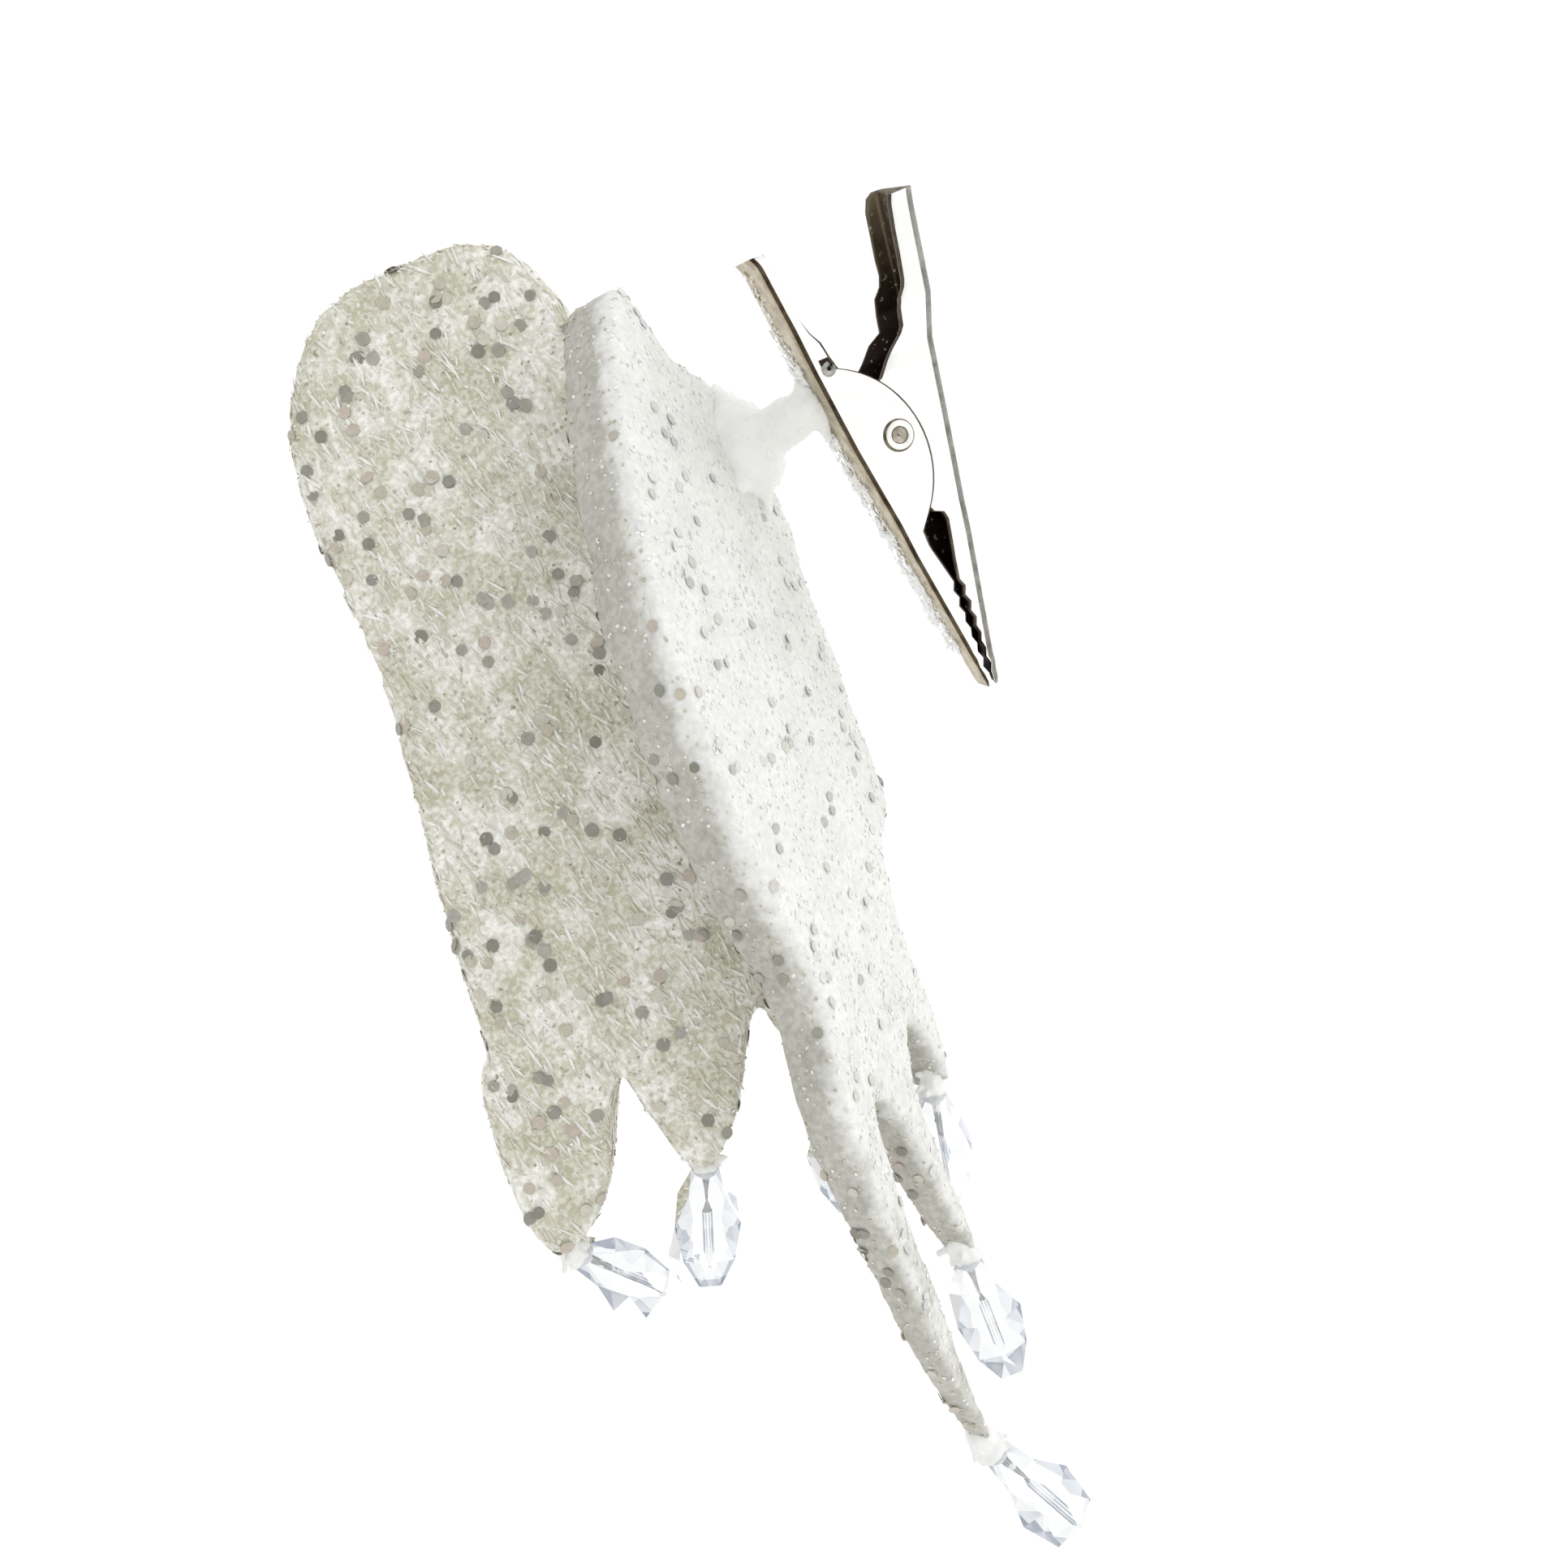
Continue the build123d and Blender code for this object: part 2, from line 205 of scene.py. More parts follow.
def remeshed(points, faces, voxel, smoothing):
    """The closed skin round a set of solids that may overlap, in even quads, smoothed."""
    mesh = bpy.data.meshes.new("remesh")
    mesh.from_pydata([tuple(p) for p in points], [], faces)
    obj = bpy.data.objects.new("remesh", mesh)
    bpy.context.scene.collection.objects.link(obj)
    skin = obj.modifiers.new("skin", "REMESH")
    skin.mode = "VOXEL"
    skin.voxel_size = voxel
    soften = obj.modifiers.new("soften", "SMOOTH")
    soften.factor = 0.5
    soften.iterations = smoothing
    result = evaluated(obj)
    bpy.data.objects.remove(obj)
    bpy.data.meshes.remove(mesh)
    return result


def roughened(points, normals, layers, seed):
    """Points moved along their normals by layers of noise, each (wavelength, height)."""
    shift = np.zeros(len(points))
    for layer, (wavelength, height) in enumerate(layers):
        place = Vector((seed * 17.3, layer * 31.7, seed * 5.1))
        shift += [height * noise.noise(Vector(p) / wavelength + place) for p in points]
    return points + normals * shift[:, None]


def ball(centre, radii, axis=UP, rings=7, sides=10):
    """Points and faces of a closed egg with radii (across, across, along) about an axis."""
    turn = axis.to_track_quat("Z", "Y").to_matrix()
    points = [Vector((0, 0, -1))]
    for ring in range(1, rings):
        down = math.pi * ring / rings
        for side in range(sides):
            round_it = math.tau * side / sides
            out = math.sin(down)
            points.append(Vector((out * math.cos(round_it), out * math.sin(round_it), -math.cos(down))))
    points.append(Vector((0, 0, 1)))
    placed = [centre + turn @ Vector((p.x * radii[0], p.y * radii[1], p.z * radii[2])) for p in points]
    last = len(points) - 1
    faces = []
    for side in range(sides):
        after = (side + 1) % sides
        faces.append((0, 1 + after, 1 + side))
        for ring in range(rings - 2):
            low, high = 1 + ring * sides, 1 + (ring + 1) * sides
            faces.append((low + side, low + after, high + after, high + side))
        faces.append((last, last - sides + side, last - sides + after))
    return placed, faces


def joined(parts):
    """One list of points and one of faces from several."""
    points, faces = [], []
    for part_points, part_faces in parts:
        start = len(points)
        points.extend(part_points)
        faces.extend(tuple(start + i for i in face) for face in part_faces)
    return points, faces


def drip(start, end, start_radius, end_radius):
    """Overlapping balls from one point to another, which fuse into a strand."""
    length = (end - start).length
    count = max(2, int(length / (0.45 * min(start_radius, end_radius))))
    for step in range(count + 1):
        share = step / count
        radius = start_radius + (end_radius - start_radius) * share
        yield ball(start.lerp(end, share), (radius,) * 3)


def fused(name, parts, voxel, smoothing, layers, seed, material):
    """One melted-looking piece from overlapping balls and strands."""
    points, normals, faces = remeshed(*joined(parts), voxel, smoothing)
    return add_object(name, roughened(points, normals, layers, seed), faces, [material])


def finish_piece(obj, body, slot, *nodes):
    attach(obj, body)
    if nodes:
        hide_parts(*nodes)
    return obj


# ---------------- material tools

def tone(red, green, blue):
    """A linear colour from 0 to 255 screen values."""
    def linear(value):
        value /= 255
        return value / 12.92 if value <= 0.04045 else ((value + 0.055) / 1.055) ** 2.4
    return (linear(red), linear(green), linear(blue), 1)


def grey(value):
    return (value, value, value, 1)


BLACK = grey(0)
WHITE = grey(1)


def material(name, **settings):
    """A node material. Settings are the shader's own sockets, with _ for a space."""
    made = bpy.data.materials.new(name)
    made.use_nodes = True
    shader = made.node_tree.nodes["Principled BSDF"]
    for socket, value in settings.items():
        shader.inputs[socket.replace("_", " ")].default_value = value
    return made


def node(made, kind, inputs=None, **attributes):
    """A new node. An input is a value or another node's output socket."""
    new = made.node_tree.nodes.new("ShaderNode" + kind)
    for attribute, value in attributes.items():
        setattr(new, attribute, value)
    for socket, value in (inputs or {}).items():
        if isinstance(value, bpy.types.NodeSocket):
            made.node_tree.links.new(value, new.inputs[socket])
        else:
            new.inputs[socket].default_value = value
    return new


def to_shader(made, socket, source):
    made.node_tree.links.new(source, made.node_tree.nodes["Principled BSDF"].inputs[socket])


def ramp(made, source, stops, interpolation="LINEAR"):
    """A colour ramp's output. Stops are (place, colour)."""
    new = node(made, "ValToRGB", {"Fac": source})
    new.color_ramp.interpolation = interpolation
    elements = new.color_ramp.elements
    elements[0].position, elements[0].color = stops[0]
    elements[1].position, elements[1].color = stops[-1]
    for position, colour in stops[1:-1]:
        elements.new(position).color = colour
    return new.outputs["Color"]


def place_of(made, stretch=(1, 1, 1)):
    """The surface's place in the object, stretched for grain that runs one way."""
    coordinates = node(made, "TexCoord")
    mapping = node(made, "Mapping", {"Vector": coordinates.outputs["Object"], "Scale": stretch})
    return mapping.outputs["Vector"]


def grain(made, place, size, detail=3.0, roughness=0.55):
    """Noise with features of about that size in millimetres."""
    settings = {"Vector": place, "Scale": 1 / (size * MM), "Detail": detail, "Roughness": roughness}
    return node(made, "TexNoise", settings).outputs["Fac"]


def mixed(made, share, first, second, blend="MIX"):
    new = node(made, "Mix", {"Factor": share}, data_type="RGBA", blend_type=blend)
    for socket, value in ((6, first), (7, second)):
        if isinstance(value, bpy.types.NodeSocket):
            made.node_tree.links.new(value, new.inputs[socket])
        else:
            new.inputs[socket].default_value = value
    return new.outputs[2]


def bumpy(made, source, height, strength):
    """Bumps of that height in millimetres."""
    bump = node(made, "Bump", {"Height": source, "Distance": height * MM, "Strength": strength})
    to_shader(made, "Normal", bump.outputs["Normal"])


def uneven_gloss(made, source, smooth, rough):
    """Roughness that runs from smooth to rough by a noise. Each is (noise value, roughness)."""
    stops = [(value, grey(roughness)) for value, roughness in (smooth, rough)]
    to_shader(made, "Roughness", ramp(made, source, stops))


def share_along(made, place, origin, way, length):
    """How far a place lies from an origin along a way, as a share of a length in millimetres."""
    away = node(made, "VectorMath", {0: place, 1: tuple(origin * MM)}, operation="SUBTRACT")
    inputs = {0: away.outputs["Vector"], 1: tuple(way / (length * MM))}
    return node(made, "VectorMath", inputs, operation="DOT_PRODUCT").outputs["Value"]


def frosted_foam(name, shade, body, light, fleck, fleck_share):
    """Foam under a coat of fine frost: cloudy patches, pale grains and dark flecks."""
    made = material(name, Roughness=0.62, Specular_IOR_Level=0.35)
    place = place_of(made)
    patches = ramp(made, grain(made, place, 6.5, 4.0, 0.6), [(0.38, shade), (0.48, body), (0.57, light)])
    frost = ramp(made, grain(made, place, 0.55, 2.0), [(0.42, shade), (0.62, light)])
    base = mixed(made, 0.45, patches, frost)
    flecks = ramp(made, grain(made, place, 0.8, 1.0), [(fleck_share, BLACK), (fleck_share + 0.04, WHITE)])
    to_shader(made, "Base Color", mixed(made, flecks, base, fleck))
    uneven_gloss(made, grain(made, place, 0.7), (0.35, 0.4), (0.65, 0.8))
    bumpy(made, grain(made, place, 0.4, 4.0), 0.25, 0.7)
    return made


def flake_material(name, colours, **settings):
    """Loose flakes, each with one of several colours, with a faint mottle."""
    made = material(name, **settings)
    island = node(made, "NewGeometry").outputs["Random Per Island"]
    stops = [(index / len(colours), tone(*colour)) for index, colour in enumerate(colours)]
    colour = ramp(made, island, stops, "CONSTANT")
    mottle = ramp(made, grain(made, place_of(made), 0.5), [(0.3, grey(0.8)), (0.7, WHITE)])
    to_shader(made, "Base Color", mixed(made, 1.0, colour, mottle, "MULTIPLY"))
    return made


def nickel(name, shade, light, roughness, smudge=1.5):
    """Plated steel with faint smudges and rolling marks along the clip."""
    made = material(name, Metallic=1.0, Roughness=roughness)
    place = place_of(made)
    smudges = ramp(made, grain(made, place, smudge, 5.0), [(0.35, shade), (0.65, light)])
    to_shader(made, "Base Color", smudges)
    uneven_gloss(made, grain(made, place, 0.8, 6.0), (0.3, roughness * 0.7), (0.75, roughness * 1.8))
    bumpy(made, grain(made, place_of(made, (1, 1, 0.08)), 0.12), 0.01, 0.4)
    return made


def shaded_nickel(name):
    """The inside of the jaws, in painted shade: olive brown at the handles' ends, nearly black by the
    rivet.
    """
    made = material(name, Metallic=0.75, Roughness=0.42)
    place = place_of(made)
    shade = ramp(made, share_along(made, place, CLIP.origin, clip_up, MOVING_RISE), [
        (0.0, tone(40, 28, 26)), (0.4, tone(44, 31, 28)), (0.62, tone(70, 56, 46)),
        (0.8, tone(100, 88, 70)), (1.0, tone(122, 110, 90))])
    cloud = ramp(made, grain(made, place, 2.2, 5.0), [(0.35, grey(0.72)), (0.65, WHITE)])
    toned = mixed(made, 1.0, shade, cloud, "MULTIPLY")
    specks = ramp(made, grain(made, place, 0.55, 1.0), [(0.66, BLACK), (0.7, WHITE)])
    to_shader(made, "Base Color", mixed(made, specks, toned, tone(170, 162, 146)))
    uneven_gloss(made, grain(made, place, 0.8), (0.3, 0.3), (0.75, 0.6))
    bumpy(made, grain(made, place, 0.3), 0.01, 0.4)
    return made


def cut_foam(name, face_tones, edge_shade_tones, panel_place, depth):
    """Frosted foam that is nearly white on its back and greyer down its cut edges, where the grey is
    painted shade.
    """
    made = material(name, Roughness=0.62, Specular_IOR_Level=0.35)
    place = place_of(made)
    cloud = grain(made, place, 5.0, 4.0, 0.6)
    frost = grain(made, place, 0.6, 2.0)
    tones = []
    for shade, light in (face_tones, edge_shade_tones):
        patches = ramp(made, cloud, [(0.36, shade), (0.64, light)])
        tones.append(mixed(made, 0.5, patches, ramp(made, frost, [(0.4, shade), (0.62, light)])))
    # Painted shade: the nearer a point lies to the panel's front plane, the more it takes the greyer edge
    # tones.
    inward = share_along(made, place, panel_place.origin, panel_place.z, depth)
    ragged = node(made, "MapRange", {"Value": grain(made, place, 2.0, 4.0), "To Min": -0.3, "To Max": 0.3})
    level = node(made, "Math", {0: inward, 1: ragged.outputs["Result"]}, operation="ADD").outputs["Value"]
    share = ramp(made, level, [(0.55, BLACK), (0.9, WHITE)], "EASE")
    to_shader(made, "Base Color", mixed(made, share, tones[1], tones[0]))
    uneven_gloss(made, grain(made, place, 0.7), (0.35, 0.4), (0.65, 0.8))
    bumpy(made, grain(made, place, 0.4, 4.0), 0.2, 0.4)
    return made


left_foam = frosted_foam(
    "left_foam", tone(192, 190, 166), tone(216, 214, 196), tone(253, 252, 248), tone(164, 160, 138), 0.71)
# The right panel's greyer edge tones are painted shade on its cut edges.
right_foam = cut_foam(
    "right_foam", (tone(224, 225, 221), tone(244, 244, 241)), (tone(172, 170, 160), tone(206, 204, 196)),
    RIGHT, RIGHT_THICK)
left_sequin_film = flake_material(
    "left_sequin_film",
    [(166, 164, 150), (138, 136, 122), (196, 190, 172), (202, 190, 176), (176, 176, 166),
     (212, 208, 194), (152, 150, 140)],
    Roughness=0.35, Specular_IOR_Level=0.6, Coat_Weight=0.4, Coat_Roughness=0.15)
right_sequin_film = flake_material(
    "right_sequin_film",
    [(212, 214, 212), (194, 196, 193), (222, 223, 220), (218, 215, 208), (230, 232, 230)],
    Roughness=0.3, Specular_IOR_Level=0.6, Coat_Weight=0.4, Coat_Roughness=0.15)
shred_film = flake_material(
    "shred_film",
    [(248, 247, 240), (234, 231, 214), (218, 215, 194), (243, 241, 231), (252, 251, 248),
     (226, 220, 202), (220, 220, 202)],
    Roughness=0.28, Specular_IOR_Level=0.7, Coat_Weight=0.3, Coat_Roughness=0.1)
left_glitter_film = flake_material(
    "left_glitter_film",
    [(250, 250, 246), (226, 222, 206), (208, 203, 184), (244, 242, 232), (196, 191, 172),
     (216, 209, 190)],
    Roughness=0.2, Specular_IOR_Level=0.8)
right_glitter_film = flake_material(
    "right_glitter_film",
    [(255, 255, 255), (250, 251, 250), (226, 228, 226), (252, 252, 252), (244, 244, 241)],
    Roughness=0.12, Specular_IOR_Level=0.9)
# The crust's glitter glows faintly by a painted emission.
crust_glitter_film = flake_material(
    "crust_glitter_film", [(255, 255, 255), (240, 240, 237), (252, 252, 250)],
    Roughness=0.5, Specular_IOR_Level=0.3, Emission_Color=(0.9, 0.9, 0.88, 1), Emission_Strength=0.12)


# ---------------- foam panels

class Surface:
    """A skin that flakes are scattered on, with a seeded draw of places on it."""

    def __init__(self, points, normals, faces):
        triangles = []
        for face in faces:
            triangles.append((face[0], face[1], face[2]))
            if len(face) == 4:
                triangles.append((face[0], face[2], face[3]))
        self.triangles = np.array(triangles)
        self.points, self.normals = points, normals
        corners = points[self.triangles]
        cross = np.cross(corners[:, 1] - corners[:, 0], corners[:, 2] - corners[:, 0])
        area = np.linalg.norm(cross, axis=1) / 2
        self.reach = np.cumsum(area) / area.sum()

    def draw(self, count, rng, clumping=0.0, clump=9.0):
        """Places and normals. Clumping above 0 thins them out by patches of that size."""
        places = []
        while len(places) < count:
            pick = np.searchsorted(self.reach, rng.random())
            a, b, c = self.triangles[pick]
            u, v = rng.random(2)
            if u + v > 1:
                u, v = 1 - u, 1 - v
            point = Vector(self.points[a] * (1 - u - v) + self.points[b] * u + self.points[c] * v)
            thin = noise.noise(point / clump) * clumping
            if rng.random() < 0.5 + thin or clumping == 0:
                normal = self.normals[a] * (1 - u - v) + self.normals[b] * u + self.normals[c] * v
                places.append((point, Vector(normal).normalized()))
        return places


def flake(centre, normal, along, long_radius, short_radius, thick, sides, corner=1.0):
    """A thin closed plate with many sides. Corner below 1 pulls every other corner in."""
    side_way = normal.cross(along).normalized()
    along = side_way.cross(normal)
    rim = []
    for step in range(sides):
        turn = math.tau * step / sides
        size = corner if step % 2 else 1.0
        rim.append((along * math.cos(turn) * long_radius + side_way * math.sin(turn) * short_radius) * size)
    points = [centre + r + normal * thick / 2 for r in rim] + [centre + r - normal * thick / 2 for r in rim]
    faces = [tuple(range(sides)), tuple(range(2 * sides - 1, sides - 1, -1))]
    faces += [(s, s + sides, (s + 1) % sides + sides, (s + 1) % sides) for s in range(sides)]
    return points, faces


def shred(centre, normal, along, length, width, thick, lift):
    """A thin curled strip with a three-cornered section."""
    side_way = normal.cross(along).normalized()
    points = []
    for share, rise, narrow in ((-0.5, 0.0, 0.5), (-0.18, 0.8, 1.0), (0.18, 1.0, 1.0), (0.5, 0.3, 0.4)):
        middle = centre + along * length * share + normal * lift * rise
        points.append(middle + side_way * width / 2 * narrow)
        points.append(middle - side_way * width / 2 * narrow)
        points.append(middle + normal * thick)
    faces = [(0, 1, 2), (11, 10, 9)]
    for step in range(3):
        low = step * 3
        faces += [
            (low, low + 3, low + 4, low + 1),
            (low + 1, low + 4, low + 5, low + 2),
            (low + 2, low + 5, low + 3, low),
        ]
    return points, faces


def scatter(name, skin, count, seed, film, slot, shape_of, clumping=(), where=None):
    """One piece of loose flakes on a skin, each shaped for its place and normal."""
    rng = np.random.default_rng(seed)
    places = [place for place in skin.draw(count, rng, *clumping) if where is None or where(place[1])]
    obj = add_object(name, *joined([shape_of(rng, *place) for place in places]), [film], smooth=False)
    return finish_piece(obj, "ornament", slot)


def tangent(normal, way):
    """The way along the surface nearest to a wanted one."""
    flat = way - normal * way.dot(normal)
    return flat.normalized() if flat.length > 1e-4 else normal.orthogonal().normalized()


def cad_skin(name):
    """A CAD node's points in millimetres and its faces, with shared corners merged."""
    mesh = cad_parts[name].data
    merged, index, points = {}, [], []
    for vertex in mesh.vertices:
        key = tuple(round(c / MM, 3) for c in vertex.co)
        if key not in merged:
            merged[key] = len(points)
            points.append(key)
        index.append(merged[key])
    faces = [tuple(index[i] for i in polygon.vertices) for polygon in mesh.polygons]
    return points, [f for f in faces if len(set(f)) == len(f)]


def normals_of(points, faces):
    corners = np.array([f if len(f) == 4 else (*f, f[2]) for f in faces])
    quad = points[corners]
    cross = np.cross(quad[:, 2] - quad[:, 0], quad[:, 3] - quad[:, 1])
    normals = np.zeros_like(points)
    for corner in range(4):
        np.add.at(normals, corners[:, corner], cross)
    return normals / np.maximum(np.linalg.norm(normals, axis=1), 1e-9)[:, None]


def panel(node_name, foam, slot, rounding, layers, seed, finger_top, finger_end):
    """A foam icicle: the CAD solid with soft rounded edges and a rough frosted skin."""
    points, normals, faces = remeshed(*cad_skin(node_name), PANEL_VOXEL, 4)
    # The fingers keep their shape, the more so towards their ends.
    keep = np.clip((finger_top - points[:, 2]) / (finger_top - finger_end), 0, 1) * FINGER_KEEP
    points = softened(points, faces, rounding, keep)
    normals = normals_of(points, faces)
    calm = (1 - FINGER_CALM * keep)[:, None]
    rough = points + (roughened(points, normals, layers, seed) - points) * calm
    obj = add_object(node_name + "_foam", rough, faces, [foam])
    finish_piece(obj, "ornament", slot, node_name)
    return Surface(rough, normals, faces)


# Layers of the frosted skin's roughness: (wavelength, height).
LEFT_CRUST = ((9.0, 0.4), (3.2, 0.2), (1.3, 0.16))
RIGHT_CRUST = ((9.0, 0.4), (3.2, 0.16), (1.3, 0.13))
left_skin = panel(
    "left_panel", left_foam, "foam_left", rounding=30, layers=LEFT_CRUST, seed=1,
    finger_top=-15, finger_end=-44)
right_skin = panel(
    "right_panel", right_foam, "foam_right", rounding=38, layers=RIGHT_CRUST, seed=2,
    finger_top=-15, finger_end=-60)


def jitter(rng, spread):
    """A random offset."""
    return Vector(rng.normal(0, spread, 3))


def on_back(normal):
    """Whether a normal of the right panel faces the way its flat back does."""
    return normal.dot(RIGHT.z) > 0.5


def off_back(normal):
    return not on_back(normal)


def sequin(size):
    """A round sequin that lies nearly flat."""
    def shape_of(rng, point, normal):
        lie = (normal + jitter(rng, 0.13)).normalized()
        radius = size * rng.uniform(0.86, 1.06)
        along = tangent(lie, jitter(rng, 1))
        return flake(point + normal * 0.13, lie, along, radius, radius, 0.06, 12, 0.93)
    return shape_of


def glitter(size, tilt_spread):
    """A fine six-sided flake, tilted at random."""
    def shape_of(rng, point, normal):
        lie = (normal + jitter(rng, tilt_spread)).normalized()
        radius = size * rng.uniform(0.6, 1.3)
        along = tangent(lie, jitter(rng, 1))
        return flake(point + normal * 0.06, lie, along, radius, radius * 0.8, 0.05, 6)
    return shape_of


def short_shred(way):
    """A short curled strip that lies mostly one way."""
    def shape_of(rng, point, normal):
        along = tangent(normal, way + jitter(rng, 0.28))
        length, width, lift = rng.uniform(0.8, 2.6), rng.uniform(0.16, 0.34), rng.uniform(0.01, 0.08)
        return shred(point + normal * 0.03, normal, along, length, width, 0.05, lift)
    return shape_of


# Off the right panel's back, its sequins take the left panel's darker film as painted shade on the cut
# edge.
for name, skin, count, seed, film, size, where in (
    ("left_sequins", left_skin, 440, 11, left_sequin_film, LEFT_SEQUIN, None),
    ("right_sequins", right_skin, 260, 12, right_sequin_film, RIGHT_SEQUIN, on_back),
    ("edge_sequins", right_skin, 330, 18, left_sequin_film, RIGHT_SEQUIN, off_back),
):
    slot = "foam_left" if skin is left_skin else "foam_right"
    scatter(name, skin, count, seed, film, slot, sequin(size), (0.6,), where)
shreds = short_shred(LEFT.x * 0.35 - UP)
scatter("left_shreds", left_skin, 4200, 13, shred_film, "foam_left", shreds, (0.5, 7.0))
scatter("left_glitter", left_skin, 5200, 14, left_glitter_film, "foam_left", glitter(0.2, 0.45))
scatter(
    "right_glitter", right_skin, 5200, 15, right_glitter_film, "foam_right", glitter(0.18, 0.1),
    where=on_back)
# The glitter on the right panel's cut edge takes the darker left film as painted shade.
scatter(
    "edge_glitter", right_skin, 3600, 19, left_glitter_film, "foam_right", glitter(0.17, 0.3),
    where=off_back)


# ---------------- hot glue

def milky_glue(name, tint, through):
    """Set hot glue: milky, soft and glossy, with cloudy patches and fine ripples."""
    made = material(
        name, Roughness=0.3, IOR=1.48, Transmission_Weight=through, Subsurface_Weight=0.25,
        Subsurface_Radius=(1.0, 1.0, 1.0), Subsurface_Scale=1.2 * MM, Coat_Weight=0.3, Coat_Roughness=0.12)
    place = place_of(made)
    pale = tuple(min(1, c * 1.06) for c in tint[:3]) + (1,)
    to_shader(made, "Base Color", ramp(made, grain(made, place, 2.2, 4.0), [(0.35, tint), (0.62, pale)]))
    uneven_gloss(made, grain(made, place, 1.1), (0.3, 0.18), (0.7, 0.5))
    bumpy(made, grain(made, place, 0.9), 0.12, 0.5)
    return made


glue = milky_glue("milky_glue", tone(249, 250, 246), 0.06)
crust_glue = milky_glue("crust_glue", tone(253, 253, 252), 0.0)


# ---------------- glass drops and their glue

def glass(name, light):
    """Clear cut glass with a cool cast and faint haze in patches, darkened by painted shade on facets
    turned towards the silhouette.
    """
    made = material(name, Roughness=0.0, IOR=1.42, Transmission_Weight=1.0, Specular_IOR_Level=0.5)
    cast = grain(made, place_of(made), 3.0, 2.0)
    clear = ramp(made, cast, [(0.35, light), (0.65, WHITE)])
    # Painted shade: facets turn blue-grey and then dark as they face away from the view.
    facing = node(made, "LayerWeight", {"Blend": 0.5}).outputs["Facing"]
    rim = ramp(made, facing, [(0.3, WHITE), (0.52, tone(206, 212, 222)), (0.74, tone(66, 78, 104))])
    to_shader(made, "Base Color", mixed(made, 1.0, clear, rim, "MULTIPLY"))
    return made


crystal_glass = glass("crystal_glass", tone(246, 248, 250))
# The edge glass is a darker copy for the bevelled facet edges, painted as dark lines.
edge_glass = glass("edge_glass", tone(132, 140, 156))


def bead(name, top, axis, turn):
    """A cut drop: staggered rings of facets round a drilled hole, with sharp edges."""
    across = (LEFT.z - axis * LEFT.z.dot(axis)).normalized()
    other = axis.cross(across)

    def ring(height, radius, share):
        made = []
        for side in range(BEAD_FACETS):
            angle = math.tau * (side + share + turn) / BEAD_FACETS
            out = across * math.cos(angle) + other * math.sin(angle)
            made.append(top + axis * height + out * radius)
        return made

    rings = [ring(0, BEAD_HOLE, 0)] + [ring(*r) for r in BEAD_RINGS] + [ring(BEAD_LENGTH, BEAD_HOLE, 0)]
    shares = [0] + [r[2] for r in BEAD_RINGS] + [0]
    points = [p for r in rings for p in r]
    faces = []
    for row in range(len(rings)):
        low, high = row * BEAD_FACETS, ((row + 1) % len(rings)) * BEAD_FACETS
        step_on = shares[(row + 1) % len(rings)] - shares[row]
        for side in range(BEAD_FACETS):
            a, b = low + side, low + (side + 1) % BEAD_FACETS
            c, d = high + side, high + (side + 1) % BEAD_FACETS
            if step_on > 0:
                faces += [(a, c, b), (b, c, d)]
            elif step_on < 0:
                faces += [(a, c, d), (a, d, b)]
            else:
                faces.append((a, c, d, b))
    obj = add_object(name, points, faces, [crystal_glass, edge_glass], smooth=False)
    # The bevel strips take the darker edge glass, painted dark lines along the facet edges.
    edge = obj.modifiers.new("edge", "BEVEL")
    edge.width = BEAD_EDGE * MM
    edge.segments = 1
    edge.material = 1
    return obj


# Finger tip in its panel, how far it lies behind the panel's plane, and the bead's lean
# from straight down: to the right, and back from the clip's side.
FINGERS = {
    "left_1": (LEFT, (3.6, -46.5), 0, 36, 24),
    "left_2": (LEFT, (19.4, -41.8), 0, -16, 0),
    "left_3": (LEFT, (33.9, -38.8), 0, -6, 0),
    "right_1": (RIGHT, (14.5, -74.2), RIGHT_THICK / 2, 30, 0),
    "right_2": (RIGHT, (22.4, -58.6), RIGHT_THICK / 2, 3, 0),
    "right_3": (RIGHT, (28, -42.8), RIGHT_THICK / 2, -9, 0),
}
DAB_GAP = 0.6


def dab(name, tip, top, axis, seed):
    """A blob of glue over a finger tip, run down into the bead's hole, with small spikes."""
    rng = np.random.default_rng(seed)
    parts = [ball(tip - axis * 0.6, (1.6, 1.4, 2.2), axis), ball(top, (1.95, 1.85, 1.2), axis)]
    parts += drip(top, top + axis * 4.6, 0.52, 0.46)
    for _ in range(5):
        out = jitter(rng, 1.0)
        out = (out - axis * out.dot(axis)).normalized()
        start = tip + axis * rng.uniform(-1.2, 0.4)
        end = start + out * rng.uniform(1.7, 2.6) + axis * rng.uniform(-0.8, 0.8)
        parts += drip(start, end, 0.7, 0.22)
    return fused(name, parts, 0.17, 3, ((1.6, 0.3), (0.7, 0.12)), seed, glue)


for number, (finger, (place, tip_at, depth, slant, nod)) in enumerate(FINGERS.items()):
    slant, nod = math.radians(slant), math.radians(nod)
    axis = (LEFT.x * math.sin(slant) - UP * math.cos(slant)) * math.cos(nod) - LEFT.z * math.sin(nod)
    tip = place.point(*tip_at, depth)
    top = tip + axis * DAB_GAP
    crystal = bead(finger + "_drop", top, axis, number * 0.37)
    finish_piece(crystal, "ornament", "crystal", finger.replace("_", "_crystal_"))
    blob = dab(finger + "_glue", tip, top, axis, 40 + number)
    finish_piece(blob, "ornament", "hot_glue", finger.replace("_", "_glue_dab_"))


# ---------------- clip jaws

bright_nickel = nickel("bright_nickel", tone(250, 250, 248), tone(253, 253, 252), 0.14)
spine_nickel = nickel("spine_nickel", tone(160, 146, 120), tone(200, 190, 168), 0.24)
